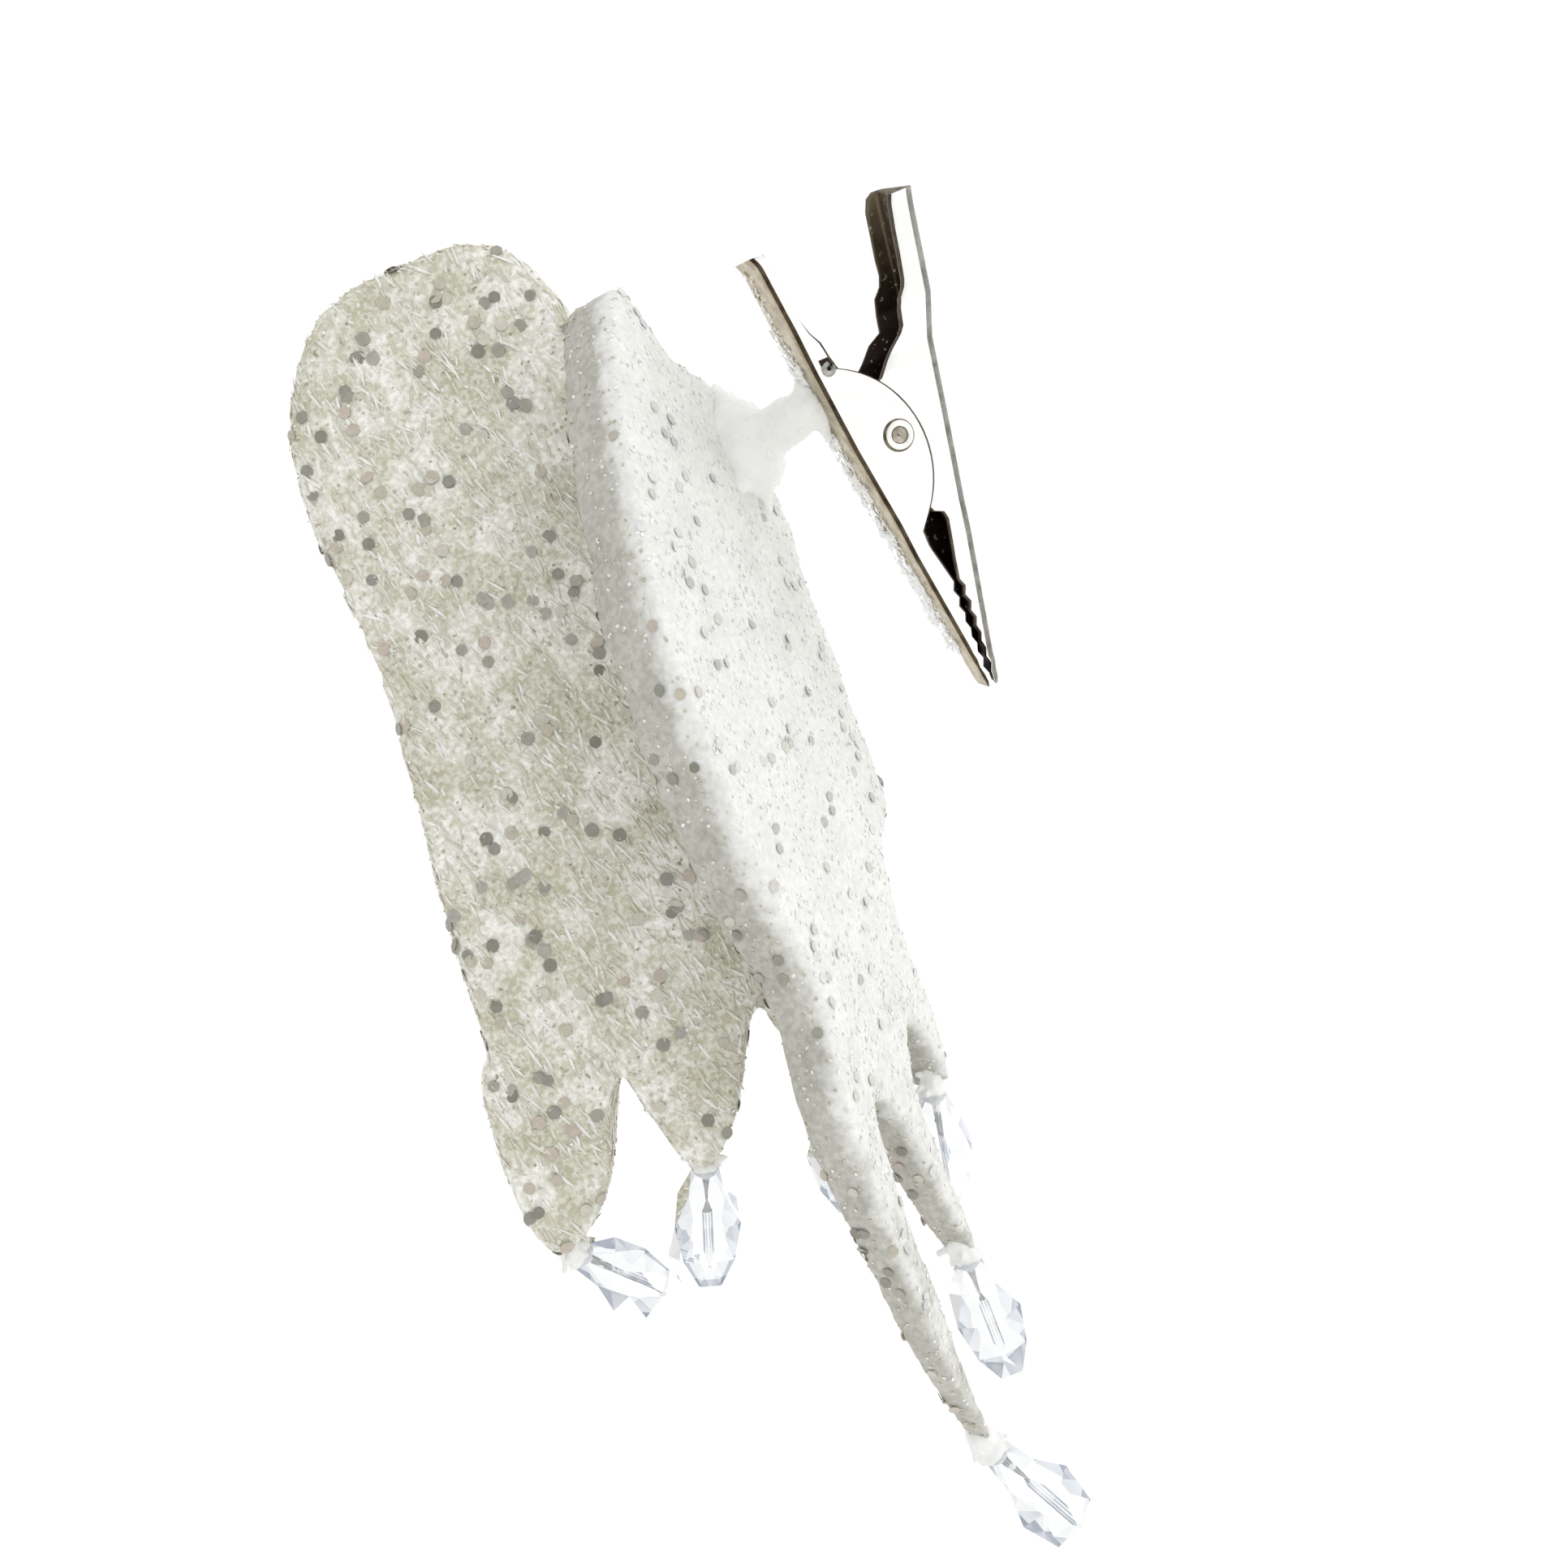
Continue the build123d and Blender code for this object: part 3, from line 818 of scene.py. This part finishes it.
# The fold metals are painted shade, dark where the folded sheet turns away from the light.
fold_nickel = nickel("fold_nickel", tone(58, 46, 34), tone(104, 92, 74), 0.3)
# The jaws' inner faces take painted shade, darkest by the rivet.
inner_nickel = shaded_nickel("inner_nickel")
# The rim metal is painted dark reflection and contact shadow along the sheet's edges.
rim_nickel = nickel("rim_nickel", tone(74, 66, 56), tone(112, 104, 92), 0.4)
pale_fold_nickel = nickel("pale_fold_nickel", tone(118, 116, 110), tone(160, 157, 152), 0.25)
# The metals of a jaw's faces, in the order of BRIGHT to RIM.
FIXED_METALS = [bright_nickel, spine_nickel, fold_nickel, inner_nickel, rim_nickel]
MOVING_METALS = [bright_nickel, spine_nickel, pale_fold_nickel, inner_nickel, rim_nickel]
BRIGHT, SPINE, FOLD, INNER, RIM = range(5)


def arc(start, through, end, steps):
    """Points along the circle through three points, without the first."""
    (ax, ay), (bx, by), (cx, cy) = start, through, end
    d = 2 * (ax * (by - cy) + bx * (cy - ay) + cx * (ay - by))
    aa, bb, cc = ax * ax + ay * ay, bx * bx + by * by, cx * cx + cy * cy
    ux = (aa * (by - cy) + bb * (cy - ay) + cc * (ay - by)) / d
    uy = (aa * (cx - bx) + bb * (ax - cx) + cc * (bx - ax)) / d
    radius = math.hypot(ax - ux, ay - uy)
    first = math.atan2(ay - uy, ax - ux)
    sweep = math.atan2(cy - uy, cx - ux) - first
    middle = math.atan2(by - uy, bx - ux) - first
    if not 0 < (middle / sweep) % (math.tau / abs(sweep)) < 1:
        sweep -= math.copysign(math.tau, sweep)
    angles = [first + sweep * s / steps for s in range(1, steps + 1)]
    return [(ux + radius * math.cos(angle), uy + radius * math.sin(angle)) for angle in angles]


def read(pairs, height):
    """A value at a height, from (height, value) pairs in rising order."""
    return float(np.interp(height, [p[0] for p in pairs], [p[1] for p in pairs]))


def spine_at(side, height):
    """How far across a jaw's back is at a height. The handles' ends flare out."""
    back, flare = (FIXED_BACK, FIXED_FLARE) if side < 0 else (MOVING_BACK, MOVING_FLARE)
    share = max(0, height - FLARE_START) / (FIXED_RISE - FLARE_START)
    return read(back, height) + side * flare * share ** 2


def bite_point(side, height, open_by):
    """A point that far from the line where the jaws meet. That line leans to the tips."""
    return (GRIP_ASIDE - BITE_LEAN * (height + RIVET_HEIGHT) + side * open_by, height)


def bite(side):
    """The toothed edge from the nose up to the top of the teeth."""
    foot = TEETH_TOP - TOOTH_COUNT * TOOTH_PITCH
    points = [bite_point(side, -NOSE, BITE_CLEARANCE), bite_point(side, foot, BITE_CLEARANCE)]
    for tooth in range(TOOTH_COUNT):
        rise = foot + tooth * TOOTH_PITCH
        points.append(bite_point(side, rise + TOOTH_PITCH / 2, BITE_CLEARANCE + TOOTH_DEPTH))
        points.append(bite_point(side, rise + TOOTH_PITCH, BITE_CLEARANCE))
    return points


FIXED_START = bite(-1) + [(-0.5, -10.9), (-0.65, -9.4), (0.7, -7.5)]
FIXED_EDGE = FIXED_START + arc((0.7, -7.5), (2.65, -0.9), (-3.3, 7.8), 22) + [
    (-3.5, 8.4), (-3.75, 9.1), (-3.86, 9.6), (-4.1, 10.5), (-4.8, 11.6), (-5.6, 13.8), (-6.1, 17),
    (-6.4, FIXED_RISE)]
MOVING_START = bite(1) + [(1.3, -13.0), (1.8, -10.3), (2.0, -9.3), (1.8, -8.5), (0.9, -8.1), (-0.8, -4.6)]
MOVING_NEAR = MOVING_START + arc((-0.8, -4.6), (-3.3, 0.5), (0.44, 5.45), 16) + [
    (1.5, 6.7), (2.45, 7.65), (3.4, 8.5), (3.75, 9.1), (3.8, 10.6), (4.06, 11.4), (4.7, 12.2), (4.95, 12.8),
    (5.36, 15.0), (5.67, 17.0), (6.1, 19.2), (6.4, MOVING_RISE)]
# The far flange stands a little higher and also closes the gap between the jaws.
MOVING_FAR = bite(1)[:-2] + [(0.2, -15.3), (-1.2, -11.0), (-1.2, -8.2), (-0.8, -4.6)] + arc(
    (-0.8, -4.6), (-3.3, 0.5), (0.2, 6.9), 16) + [
    (2.1, 8.57), (3.7, 9.33), (4.3, 11.1), (4.66, 12.4), (5.53, 13.3), (5.9, 14.2), (6.05, 15.5),
    (6.43, 17.4), (6.7, 18.8), (7.2, 19.7), (7.9, MOVING_RISE)]
FIXED_WIDTHS = [
    (-TIP_DROP, TIP_HALF_WIDTH), (-11.5, NECK_HALF_WIDTH), (-8, EAR_HALF_WIDTH), (8, EAR_HALF_WIDTH),
    (12, FIXED_HANDLE_HALF_WIDTH), (FIXED_RISE, FIXED_HANDLE_HALF_WIDTH)]
MOVING_WIDTHS = [
    (-TIP_DROP, TIP_HALF_WIDTH), (-11.5, NECK_HALF_WIDTH), (-8, MOVING_HALF_WIDTH),
    (7.2, MOVING_HALF_WIDTH), (11, MOVING_HANDLE_HALF_WIDTH), (MOVING_RISE, MOVING_HANDLE_HALF_WIDTH)]
# A flange has this many strips of faces, and with its fold it has that many.
FLANGE_STRIPS = 4
FOLDED_STRIPS = 9
# From here up the rows of a handle tilt towards its slanted end.
SLANT_START = 14.0
# The pocket in the fixed jaw's near flange that the spring's end sits in: not cut, only a patch of painted
# shade in the dark inner metal.
POCKET = (7.7, 9.0)
# How much narrower the last row is than the nose, across and along the rivet.
NOSE_DRAW = (0.55, 0.82)
# The sheared edge of the sheet, rolled over.
EDGE_ROLL = 0.24


def section(side, height, edge, width, inset):
    """Half of a jaw's cross-section, from the flange's edge to the middle of its back."""
    back = spine_at(side, height) - side * inset
    fold = max(0.06, min(FOLD_RADIUS - inset, abs(back - edge) * 0.9, width - inset - 0.1))
    wall = width - inset
    flat_end = back - side * fold
    brink = edge + math.copysign(min(EDGE_ROLL, abs(flat_end - edge) * 0.3), flat_end - edge)
    points = [(edge, wall - (0.7 * EDGE_ROLL if inset == 0 else 0)), (brink, wall)]
    points += [(brink + (flat_end - brink) * s, wall) for s in (0.3, 0.65, 1)]
    for step in range(1, 6):
        angle = math.pi / 2 * step / 5
        points.append((back - side * fold * (1 - math.sin(angle)), wall - fold * (1 - math.cos(angle))))
    points += [(back, (wall - fold) * s) for s in (0.66, 0.33)]
    return points


def jaw(name, side, near_line, far_line, widths, end_slant, metals, body, cad_node):
    """A jaw folded from sheet: an outer and an inner skin joined round the rim."""
    heights = {round(p[1], 4) for p in near_line + far_line}
    heights = sorted(heights | {w[0] for w in widths if w[0] > -NOSE})
    extra = [a + (b - a) * s / 3 for a, b in zip(heights, heights[1:]) if b - a > 1.2 for s in (1, 2)]
    extra += [FLARE_START + 0.3 * s for s in (0, 1, 2, 3)]
    heights = sorted(set(heights) | {round(h, 4) for h in extra})
    near_edges = sorted((p[1], p[0]) for p in near_line)
    far_edges = sorted((p[1], p[0]) for p in far_line)
    rows = []
    for inset in (0.0, SHEET):
        skin = []
        for height in heights:
            width = read(widths, height)
            near = section(side, height, read(near_edges, height), width, inset)
            far = section(side, height, read(far_edges, height), width, inset)
            back = spine_at(side, height) - side * inset
            skin.append(near + [(back, 0.0)] + [(x, -z) for x, z in reversed(far)])
        rows.append(skin)
    columns = len(rows[0][0])
    points = []
    for skin in rows:
        for height, row in zip(heights, skin):
            slant = end_slant * max(0, (height - SLANT_START) / (heights[-1] - SLANT_START))
            width = read(widths, height)
            points += [CLIP.point(x, height + slant * (width - z) / (2 * width), z) for x, z in row]
    # The nose is closed by one more row that draws in towards the tip.
    tip_rows = []
    middle = (spine_at(side, -NOSE) + read(near_edges, -NOSE)) / 2
    for skin_index, share in ((0, 1.0), (1, 0.55)):
        row = rows[skin_index][0]
        drop = -NOSE - (TIP_DROP - NOSE) * share
        tip_rows.append(len(points))
        points += [CLIP.point(middle + (x - middle) * NOSE_DRAW[0], drop, z * NOSE_DRAW[1]) for x, z in row]
    size = len(heights) * columns
    faces, kinds = [], []

    def kind_of(column, height):
        from_edge = min(column, columns - 2 - column)
        # The strip at each flange's edge takes the rim metal, a painted dark line of reflection and shadow.
        if from_edge == 0:
            return RIM
        if side > 0:
            # The moving jaw's fold takes the pale fold metal, a painted grey line of shade.
            return BRIGHT if from_edge < FLANGE_STRIPS else FOLD if from_edge < FOLDED_STRIPS else SPINE
        # Painted shade: the pocket is a dark patch of the inner metal on the near flange.
        if column < FLANGE_STRIPS and POCKET[0] < height < POCKET[1]:
            return INNER
        # The fixed jaw's fold is bright at first and takes the painted shade only halfway round.
        return BRIGHT if from_edge < FLANGE_STRIPS + 2 else FOLD if from_edge < FOLDED_STRIPS - 1 else SPINE

    def quad(a, b, c, d, kind):
        faces.append((a, b, c, d) if side > 0 else (d, c, b, a))
        kinds.append(kind)

    for row in range(len(heights) - 1):
        for column in range(columns - 1):
            a = row * columns + column
            quad(a, a + 1, a + 1 + columns, a + columns, kind_of(column, heights[row]))
            quad(size + a + columns, size + a + 1 + columns, size + a + 1, size + a, INNER)
        left, right = row * columns, row * columns + columns - 1
        quad(left, left + columns, size + left + columns, size + left, RIM)
        quad(right + columns, right, size + right, size + right + columns, RIM)
    for column in range(columns - 1):
        top = (len(heights) - 1) * columns + column
        quad(top, top + 1, size + top + 1, size + top, RIM)
        outer, inner = tip_rows[0] + column, tip_rows[1] + column
        quad(outer, outer + 1, column + 1, column, kind_of(column, -NOSE))
        quad(size + column, size + column + 1, inner + 1, inner, INNER)
        quad(inner, inner + 1, outer + 1, outer, RIM)
    for column in (0, columns - 1):
        outer, inner = tip_rows[0] + column, tip_rows[1] + column
        ring = (outer, column, size + column, inner)
        quad(*(ring if column == 0 else ring[::-1]), RIM)
    obj = add_object(name, points, faces, metals, kinds)
    # The bevels on sharp edges take the rim metal as painted dark lines.
    edge = obj.modifiers.new("edge", "BEVEL")
    edge.width = 0.05 * MM
    edge.segments = 1
    edge.material = RIM
    edge.limit_method = "ANGLE"
    edge.angle_limit = math.radians(50)
    return finish_piece(obj, body, "nickel", cad_node)


jaw(
    "fixed_jaw", -1, FIXED_EDGE, FIXED_EDGE, FIXED_WIDTHS, FIXED_SLANT, FIXED_METALS,
    "ornament", "clip_fixed_jaw")
jaw(
    "moving_jaw_sheet", 1, MOVING_NEAR, MOVING_FAR, MOVING_WIDTHS, MOVING_SLANT, MOVING_METALS,
    "moving_jaw", "clip_moving_jaw")


# ---------------- rivet and spring

# The rivet's head: (radius, height above the ear) from the dished middle out and under the rim.
RIVET_HEAD = (
    (0.03, 0.1), (0.4, 0.12), (0.62, 0.16), (0.74, 0.2), (0.84, 0.36), (1.0, 0.44), (1.2, 0.43),
    (1.36, 0.36), (1.5, 0.22), (1.55, 0.1), (1.5, 0.02), (1.2, 0.002), (0.9, 0.002),
)
# The dish, the crown's inner wall and the head's outer side and underside take darker copies of the plate
# as painted shade; the crown ring keeps the bright plate.
DISH, RING, SHADED_SIDE = range(3)
RIVET_METALS = [DISH] * 3 + [SHADED_SIDE] + [RING] * 3 + [SHADED_SIDE] * 5 + [DISH]
# Darker copies of the plate: painted shade in the dish and down the head's sides.
dish_steel = nickel("dish_steel", tone(150, 142, 126), tone(196, 190, 178), 0.3, 0.7)
ring_steel = nickel("ring_steel", tone(244, 243, 240), tone(252, 252, 250), 0.14, 0.7)
shaded_rivet_steel = nickel("shaded_rivet_steel", tone(96, 86, 70), tone(150, 140, 122), 0.24, 0.7)
wire_steel = nickel("wire_steel", tone(120, 116, 110), tone(206, 204, 200), 0.28, 1.0)


def turned(name, outline, sides, metals, kinds):
    """A ring shape: a closed outline of (radius, height) spun about the rivet's line."""
    points = []
    for side in range(sides):
        angle = math.tau * side / sides
        points += [CLIP.point(r * math.cos(angle), r * math.sin(angle), z) for r, z in outline]
    count = len(outline)
    faces = []
    for side in range(sides):
        here, there = side * count, (side + 1) % sides * count
        for step in range(count):
            after = (step + 1) % count
            faces.append((here + step, there + step, there + after, here + after))
    return add_object(name, points, faces, metals, kinds * sides)


def rivet():
    """The hollow rivet, with a rolled head at both ears."""
    near = [(radius, EAR_HALF_WIDTH + rise) for radius, rise in RIVET_HEAD]
    far = [(radius, -height) for radius, height in reversed(near)]
    kinds = RIVET_METALS + RIVET_METALS[-2::-1] + [DISH]
    return turned("rivet", near + far, 48, [dish_steel, ring_steel, shaded_rivet_steel], kinds)


finish_piece(rivet(), "ornament", "nickel", "clip_rivet")


def tube(name, path, radius, sides, metal):
    """A round wire along a path of points, with closed ends."""
    points, faces = [], []
    side_way = (path[1] - path[0]).orthogonal().normalized()
    for index, point in enumerate(path):
        ahead = (path[min(index + 1, len(path) - 1)] - path[max(index - 1, 0)]).normalized()
        side_way = (side_way - ahead * side_way.dot(ahead)).normalized()
        other = ahead.cross(side_way)
        for side in range(sides):
            angle = math.tau * side / sides
            points.append(point + (side_way * math.cos(angle) + other * math.sin(angle)) * radius)
    for index in range(len(path) - 1):
        for side in range(sides):
            a, b = index * sides + side, index * sides + (side + 1) % sides
            faces.append((a, b, b + sides, a + sides))
    last = (len(path) - 1) * sides
    faces.append(tuple(range(sides - 1, -1, -1)))
    faces.append(tuple(last + s for s in range(sides)))
    return add_object(name, points, faces, [metal])


def spring_path():
    """One leg, the coil and the other leg. The legs leave the coil along its turns."""
    legs = []
    for side in (-1, 1):
        foot = Vector((side * SPRING_RADIUS, 0))
        end = Vector((spine_at(side, SPRING_REACH) - side * (SHEET + SPRING_WIRE + 0.05), SPRING_REACH))
        legs.append([CLIP.point(*foot.lerp(end, s / 8), -side * SPRING_HALF) for s in range(1, 9)])
    # The end on the fixed jaw turns out through the pocket in its near flange and curls up.
    tail = CLIP.point(*SPRING_TAIL, 0)
    outside = EAR_HALF_WIDTH + 0.15
    legs[0] += [tail + CLIP.z * (SPRING_HALF + (outside - SPRING_HALF) * s / 6) for s in range(1, 7)]
    for step in range(1, 11):
        angle = math.pi / 2 + math.tau * 0.8 * step / 10
        curl = CLIP.x * math.cos(angle) + CLIP.y * (math.sin(angle) - 1)
        legs[0].append(tail + curl * SPRING_CURL + CLIP.z * (outside + 0.012 * step))
    coil = []
    steps = int(SPRING_TURNS * 28)
    for step in range(steps + 1):
        share = step / steps
        angle = math.pi + math.tau * SPRING_TURNS * share
        height = SPRING_HALF * (1 - 2 * share)
        coil.append(CLIP.point(SPRING_RADIUS * math.cos(angle), SPRING_RADIUS * math.sin(angle), height))
    return legs[0][::-1] + coil + legs[1]


spring = tube("spring", spring_path(), SPRING_WIRE, 12, wire_steel)
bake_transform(spring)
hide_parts("clip_spring")


# ---------------- glue on the clip

def clip_back(height, out, sideways):
    """A point on the fixed jaw's back, or that far outside it."""
    return CLIP.point(spine_at(-1, height) - out, height, sideways)


# The post: its foot on the panel, its end on the clip, and (share of the way, radius).
POST_ON_PANEL = (26.0, 26.5)
POST_ON_CLIP = 5.5
POST_RADII = ((0, 4.9), (0.1, 4.1), (0.22, 3.1), (0.42, 2.35), (0.7, 1.95), (0.9, 1.95), (1, 2.2))
# The crust's line on the clip's back, to the far side of the middle.
FILM_ASIDE = -1.9


def glue_post():
    """The bridge of glue from the panel's back to the clip, widest on the panel."""
    start = RIGHT.point(*POST_ON_PANEL, RIGHT_THICK - 0.4)
    end = clip_back(POST_ON_CLIP, 0, FILM_ASIDE)
    rng = np.random.default_rng(71)
    parts = []
    for share in np.linspace(0, 1, 18):
        radius = read(POST_RADII, share)
        parts.append(ball(start.lerp(end, share), (radius, radius * 1.15, radius), end - start))
    # Skirt of glue that ran down the panel round the foot.
    for _ in range(26):
        turn = rng.uniform(0, math.tau)
        reach = rng.uniform(3.5, 6.0)
        across = POST_ON_PANEL[0] + reach * 0.8 * math.cos(turn)
        up = POST_ON_PANEL[1] + reach * 1.1 * math.sin(turn)
        foot = RIGHT.point(across, up, RIGHT_THICK - 0.3)
        parts += drip(start.lerp(end, 0.08), foot, 1.7, rng.uniform(0.7, 1.3))
    # Glue squeezed along the clip's back.
    for _ in range(12):
        height, out, aside = rng.normal(0, 2.2), rng.uniform(0.1, 0.5), rng.uniform(-0.9, 0.9)
        parts.append(ball(clip_back(POST_ON_CLIP + height, out, FILM_ASIDE + aside), (0.8,) * 3))
    points, normals, faces = remeshed(*joined(parts), 0.36, 8)
    rough = roughened(points, normals, ((3.0, 0.45), (1.2, 0.16)), 7)
    # The side on the clip lies flat against the handle's back.
    slope = (FIXED_BACK[2][1] - FIXED_BACK[1][1]) / FIXED_BACK[2][0]
    away = np.array((clip_up * slope - clip_across).normalized())
    inside = (rough - np.array(clip_back(0, 0, 0))) @ away
    rough -= np.minimum(inside, 0)[:, None] * away
    return add_object("glue_post", rough, faces, [glue])


finish_piece(glue_post(), "ornament", "hot_glue", "clip_glue_post")


# The crust's ends, as heights from the rivet.
CRUST_FOOT = -23.0
CRUST_TOP = 13.6


def glue_crust():
    """Lumps of glue and glitter dried along the far half of the fixed jaw's back."""
    rng = np.random.default_rng(81)
    parts = []
    for height in np.arange(CRUST_FOOT, CRUST_TOP, 0.36):
        thick = 0.2 + 0.3 * noise.noise(Vector((height / 2.6, 3.1, 0)))
        taper = min(1, (CRUST_TOP - height) / 5)
        for sideways in np.arange(-1.2, 1.3, 0.6):
            size = max(0.16, rng.uniform(0.22, 0.55) * (thick + 0.3) * taper)
            rise = 0.25 * rng.random() * taper * max(0, -sideways)
            place = clip_back(height, size * 0.25 + rise, FILM_ASIDE + sideways + rng.uniform(-0.25, 0.25))
            parts.append(ball(place, (size,) * 3, rings=5, sides=7))
    points, normals, faces = remeshed(*joined(parts), 0.17, 3)
    rough = roughened(points, normals, ((0.9, 0.16), (0.4, 0.09)), 8)
    obj = add_object("glue_crust", rough, faces, [crust_glue])
    return obj, Surface(rough, normals, faces)


crust, crust_skin = glue_crust()
finish_piece(crust, "ornament", "hot_glue", "clip_glue_film")
scatter("crust_glitter", crust_skin, 420, 16, crust_glitter_film, "hot_glue", glitter(0.16, 0.35))


def handle_glitter():
    """Loose grains of glitter stuck along the fixed handle's back."""
    rng = np.random.default_rng(17)
    grains = []
    for _ in range(80):
        height = rng.uniform(7, FIXED_RISE - 0.5)
        sideways = rng.uniform(-1.0, -0.3) * (read(FIXED_WIDTHS, height) - FOLD_RADIUS)
        lie = (jitter(rng, 0.4) - clip_across).normalized()
        place = clip_back(height, rng.uniform(0.02, 0.14), sideways)
        along = tangent(lie, jitter(rng, 1))
        grains.append(flake(place, lie, along, rng.uniform(0.1, 0.24), 0.13, 0.08, 6))
    # The grains use the crust's glitter, with its painted glow.
    obj = add_object("handle_glitter", *joined(grains), [crust_glitter_film], smooth=False)
    return finish_piece(obj, "ornament", "hot_glue")


handle_glitter()


# The seam's lower and upper end.
SEAM_ENDS = (-25, 31)


def seam_glue():
    """The bead of glue that joins the left panel's edge to the right panel's front."""
    parts = []
    for step, height in enumerate(np.linspace(*SEAM_ENDS, 24)):
        wobble = noise.noise(Vector((step * 0.7, 0.4, 0)))
        parts.append(ball(RIGHT.point(21.0 + wobble, height, -0.6), (3.6 + wobble, 3.2, 2.2), RIGHT.z))
    return fused("seam_glue", parts, 0.45, 4, ((3.0, 0.5), (1.2, 0.2)), 9, glue)


finish_piece(seam_glue(), "ornament", "hot_glue", "panel_seam_glue")


# ---------------- studio

FLOOR_DROP = 70
WALL_AWAY = 700
ROOM_HALF = 1600
COVE_RADIUS = 300


def studio():
    """A pale floor that curves up into a wall behind the ornament."""
    low = cad_box[0].z / MM - FLOOR_DROP
    line = [(-ROOM_HALF, low), (0, low)]
    for step in range(13):
        angle = math.pi / 2 * step / 12
        back, up = COVE_RADIUS * math.sin(angle), COVE_RADIUS * (1 - math.cos(angle))
        line.append((WALL_AWAY - COVE_RADIUS + back, low + up))
    line.append((WALL_AWAY, low + ROOM_HALF))
    points = [Vector((side * ROOM_HALF, y, z)) for y, z in line for side in (-1, 1)]
    faces = [(2 * s, 2 * s + 1, 2 * s + 3, 2 * s + 2) for s in range(len(line) - 1)]
    pale = material("pale_paper", Roughness=0.9, Emission_Color=WHITE, Emission_Strength=0.1)
    mottle = [(0.3, tone(246, 246, 245)), (0.7, tone(250, 250, 249))]
    to_shader(pale, "Base Color", ramp(pale, grain(pale, place_of(pale), 40), mottle))
    backdrop = add_object("studio_paper", points, faces, [pale])
    backdrop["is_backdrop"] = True


def soft_light(name, place, aim, size, power):
    """A square light at a place in metres, turned to its aim."""
    light = bpy.data.lights.new(name, "AREA")
    light.size = size
    light.energy = power
    obj = bpy.data.objects.new(name, light)
    obj.location = Vector(place)
    obj.rotation_mode = "QUATERNION"
    obj.rotation_quaternion = (Vector(aim) - Vector(place)).to_track_quat("-Z", "Y")
    bpy.context.scene.collection.objects.link(obj)


def sky():
    """Even white light, a little weaker from the left."""
    world = bpy.data.worlds.new("soft_white")
    world.use_nodes = True
    bpy.context.scene.world = world
    background = world.node_tree.nodes["Background"]
    background.inputs["Color"].default_value = WHITE
    view = node(world, "TexCoord").outputs["Generated"]
    across = node(world, "SeparateXYZ", {"Vector": view}).outputs["X"]
    reach = {"From Min": -1, "From Max": 1, "To Min": 0.68, "To Max": 1.22}
    fade = node(world, "MapRange", {"Value": across, **reach})
    world.node_tree.links.new(fade.outputs["Result"], background.inputs["Strength"])


studio()
sky()
soft_light("key", (0.5, -0.35, 0.45), (-0.03, 0, 0), 0.7, 0.6)


# ---------------- camera

CAMERA_AT = (-44.6, -119.9, -7.6)
CAMERA_HEADING = 10
CAMERA_ROLL = 18.5
SENSOR = 36
FRAME_SIDE = 1932
FOCAL = 1500

camera_data = bpy.data.cameras.new("camera")
camera_data.sensor_width = SENSOR
camera_data.lens = SENSOR * FOCAL / FRAME_SIDE
camera_data.clip_start = 0.005
camera_data.clip_end = 20
camera = bpy.data.objects.new("camera", camera_data)
forward = direction(CAMERA_HEADING)
level = forward.cross(UP)
roll = math.radians(CAMERA_ROLL)
right = level * math.cos(roll) - UP * math.sin(roll)
upward = level * math.sin(roll) + UP * math.cos(roll)
turned_view = Matrix((right, upward, -forward)).transposed().to_4x4()
camera.matrix_world = Matrix.Translation(Vector(CAMERA_AT) * MM) @ turned_view
bpy.context.scene.collection.objects.link(camera)
bpy.context.scene.camera = camera
bpy.context.scene.view_settings.view_transform = "Standard"

boxes = {"cad": cad_box, "visual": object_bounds()}
{name: [list(corner) for corner in box] for name, box in boxes.items()}
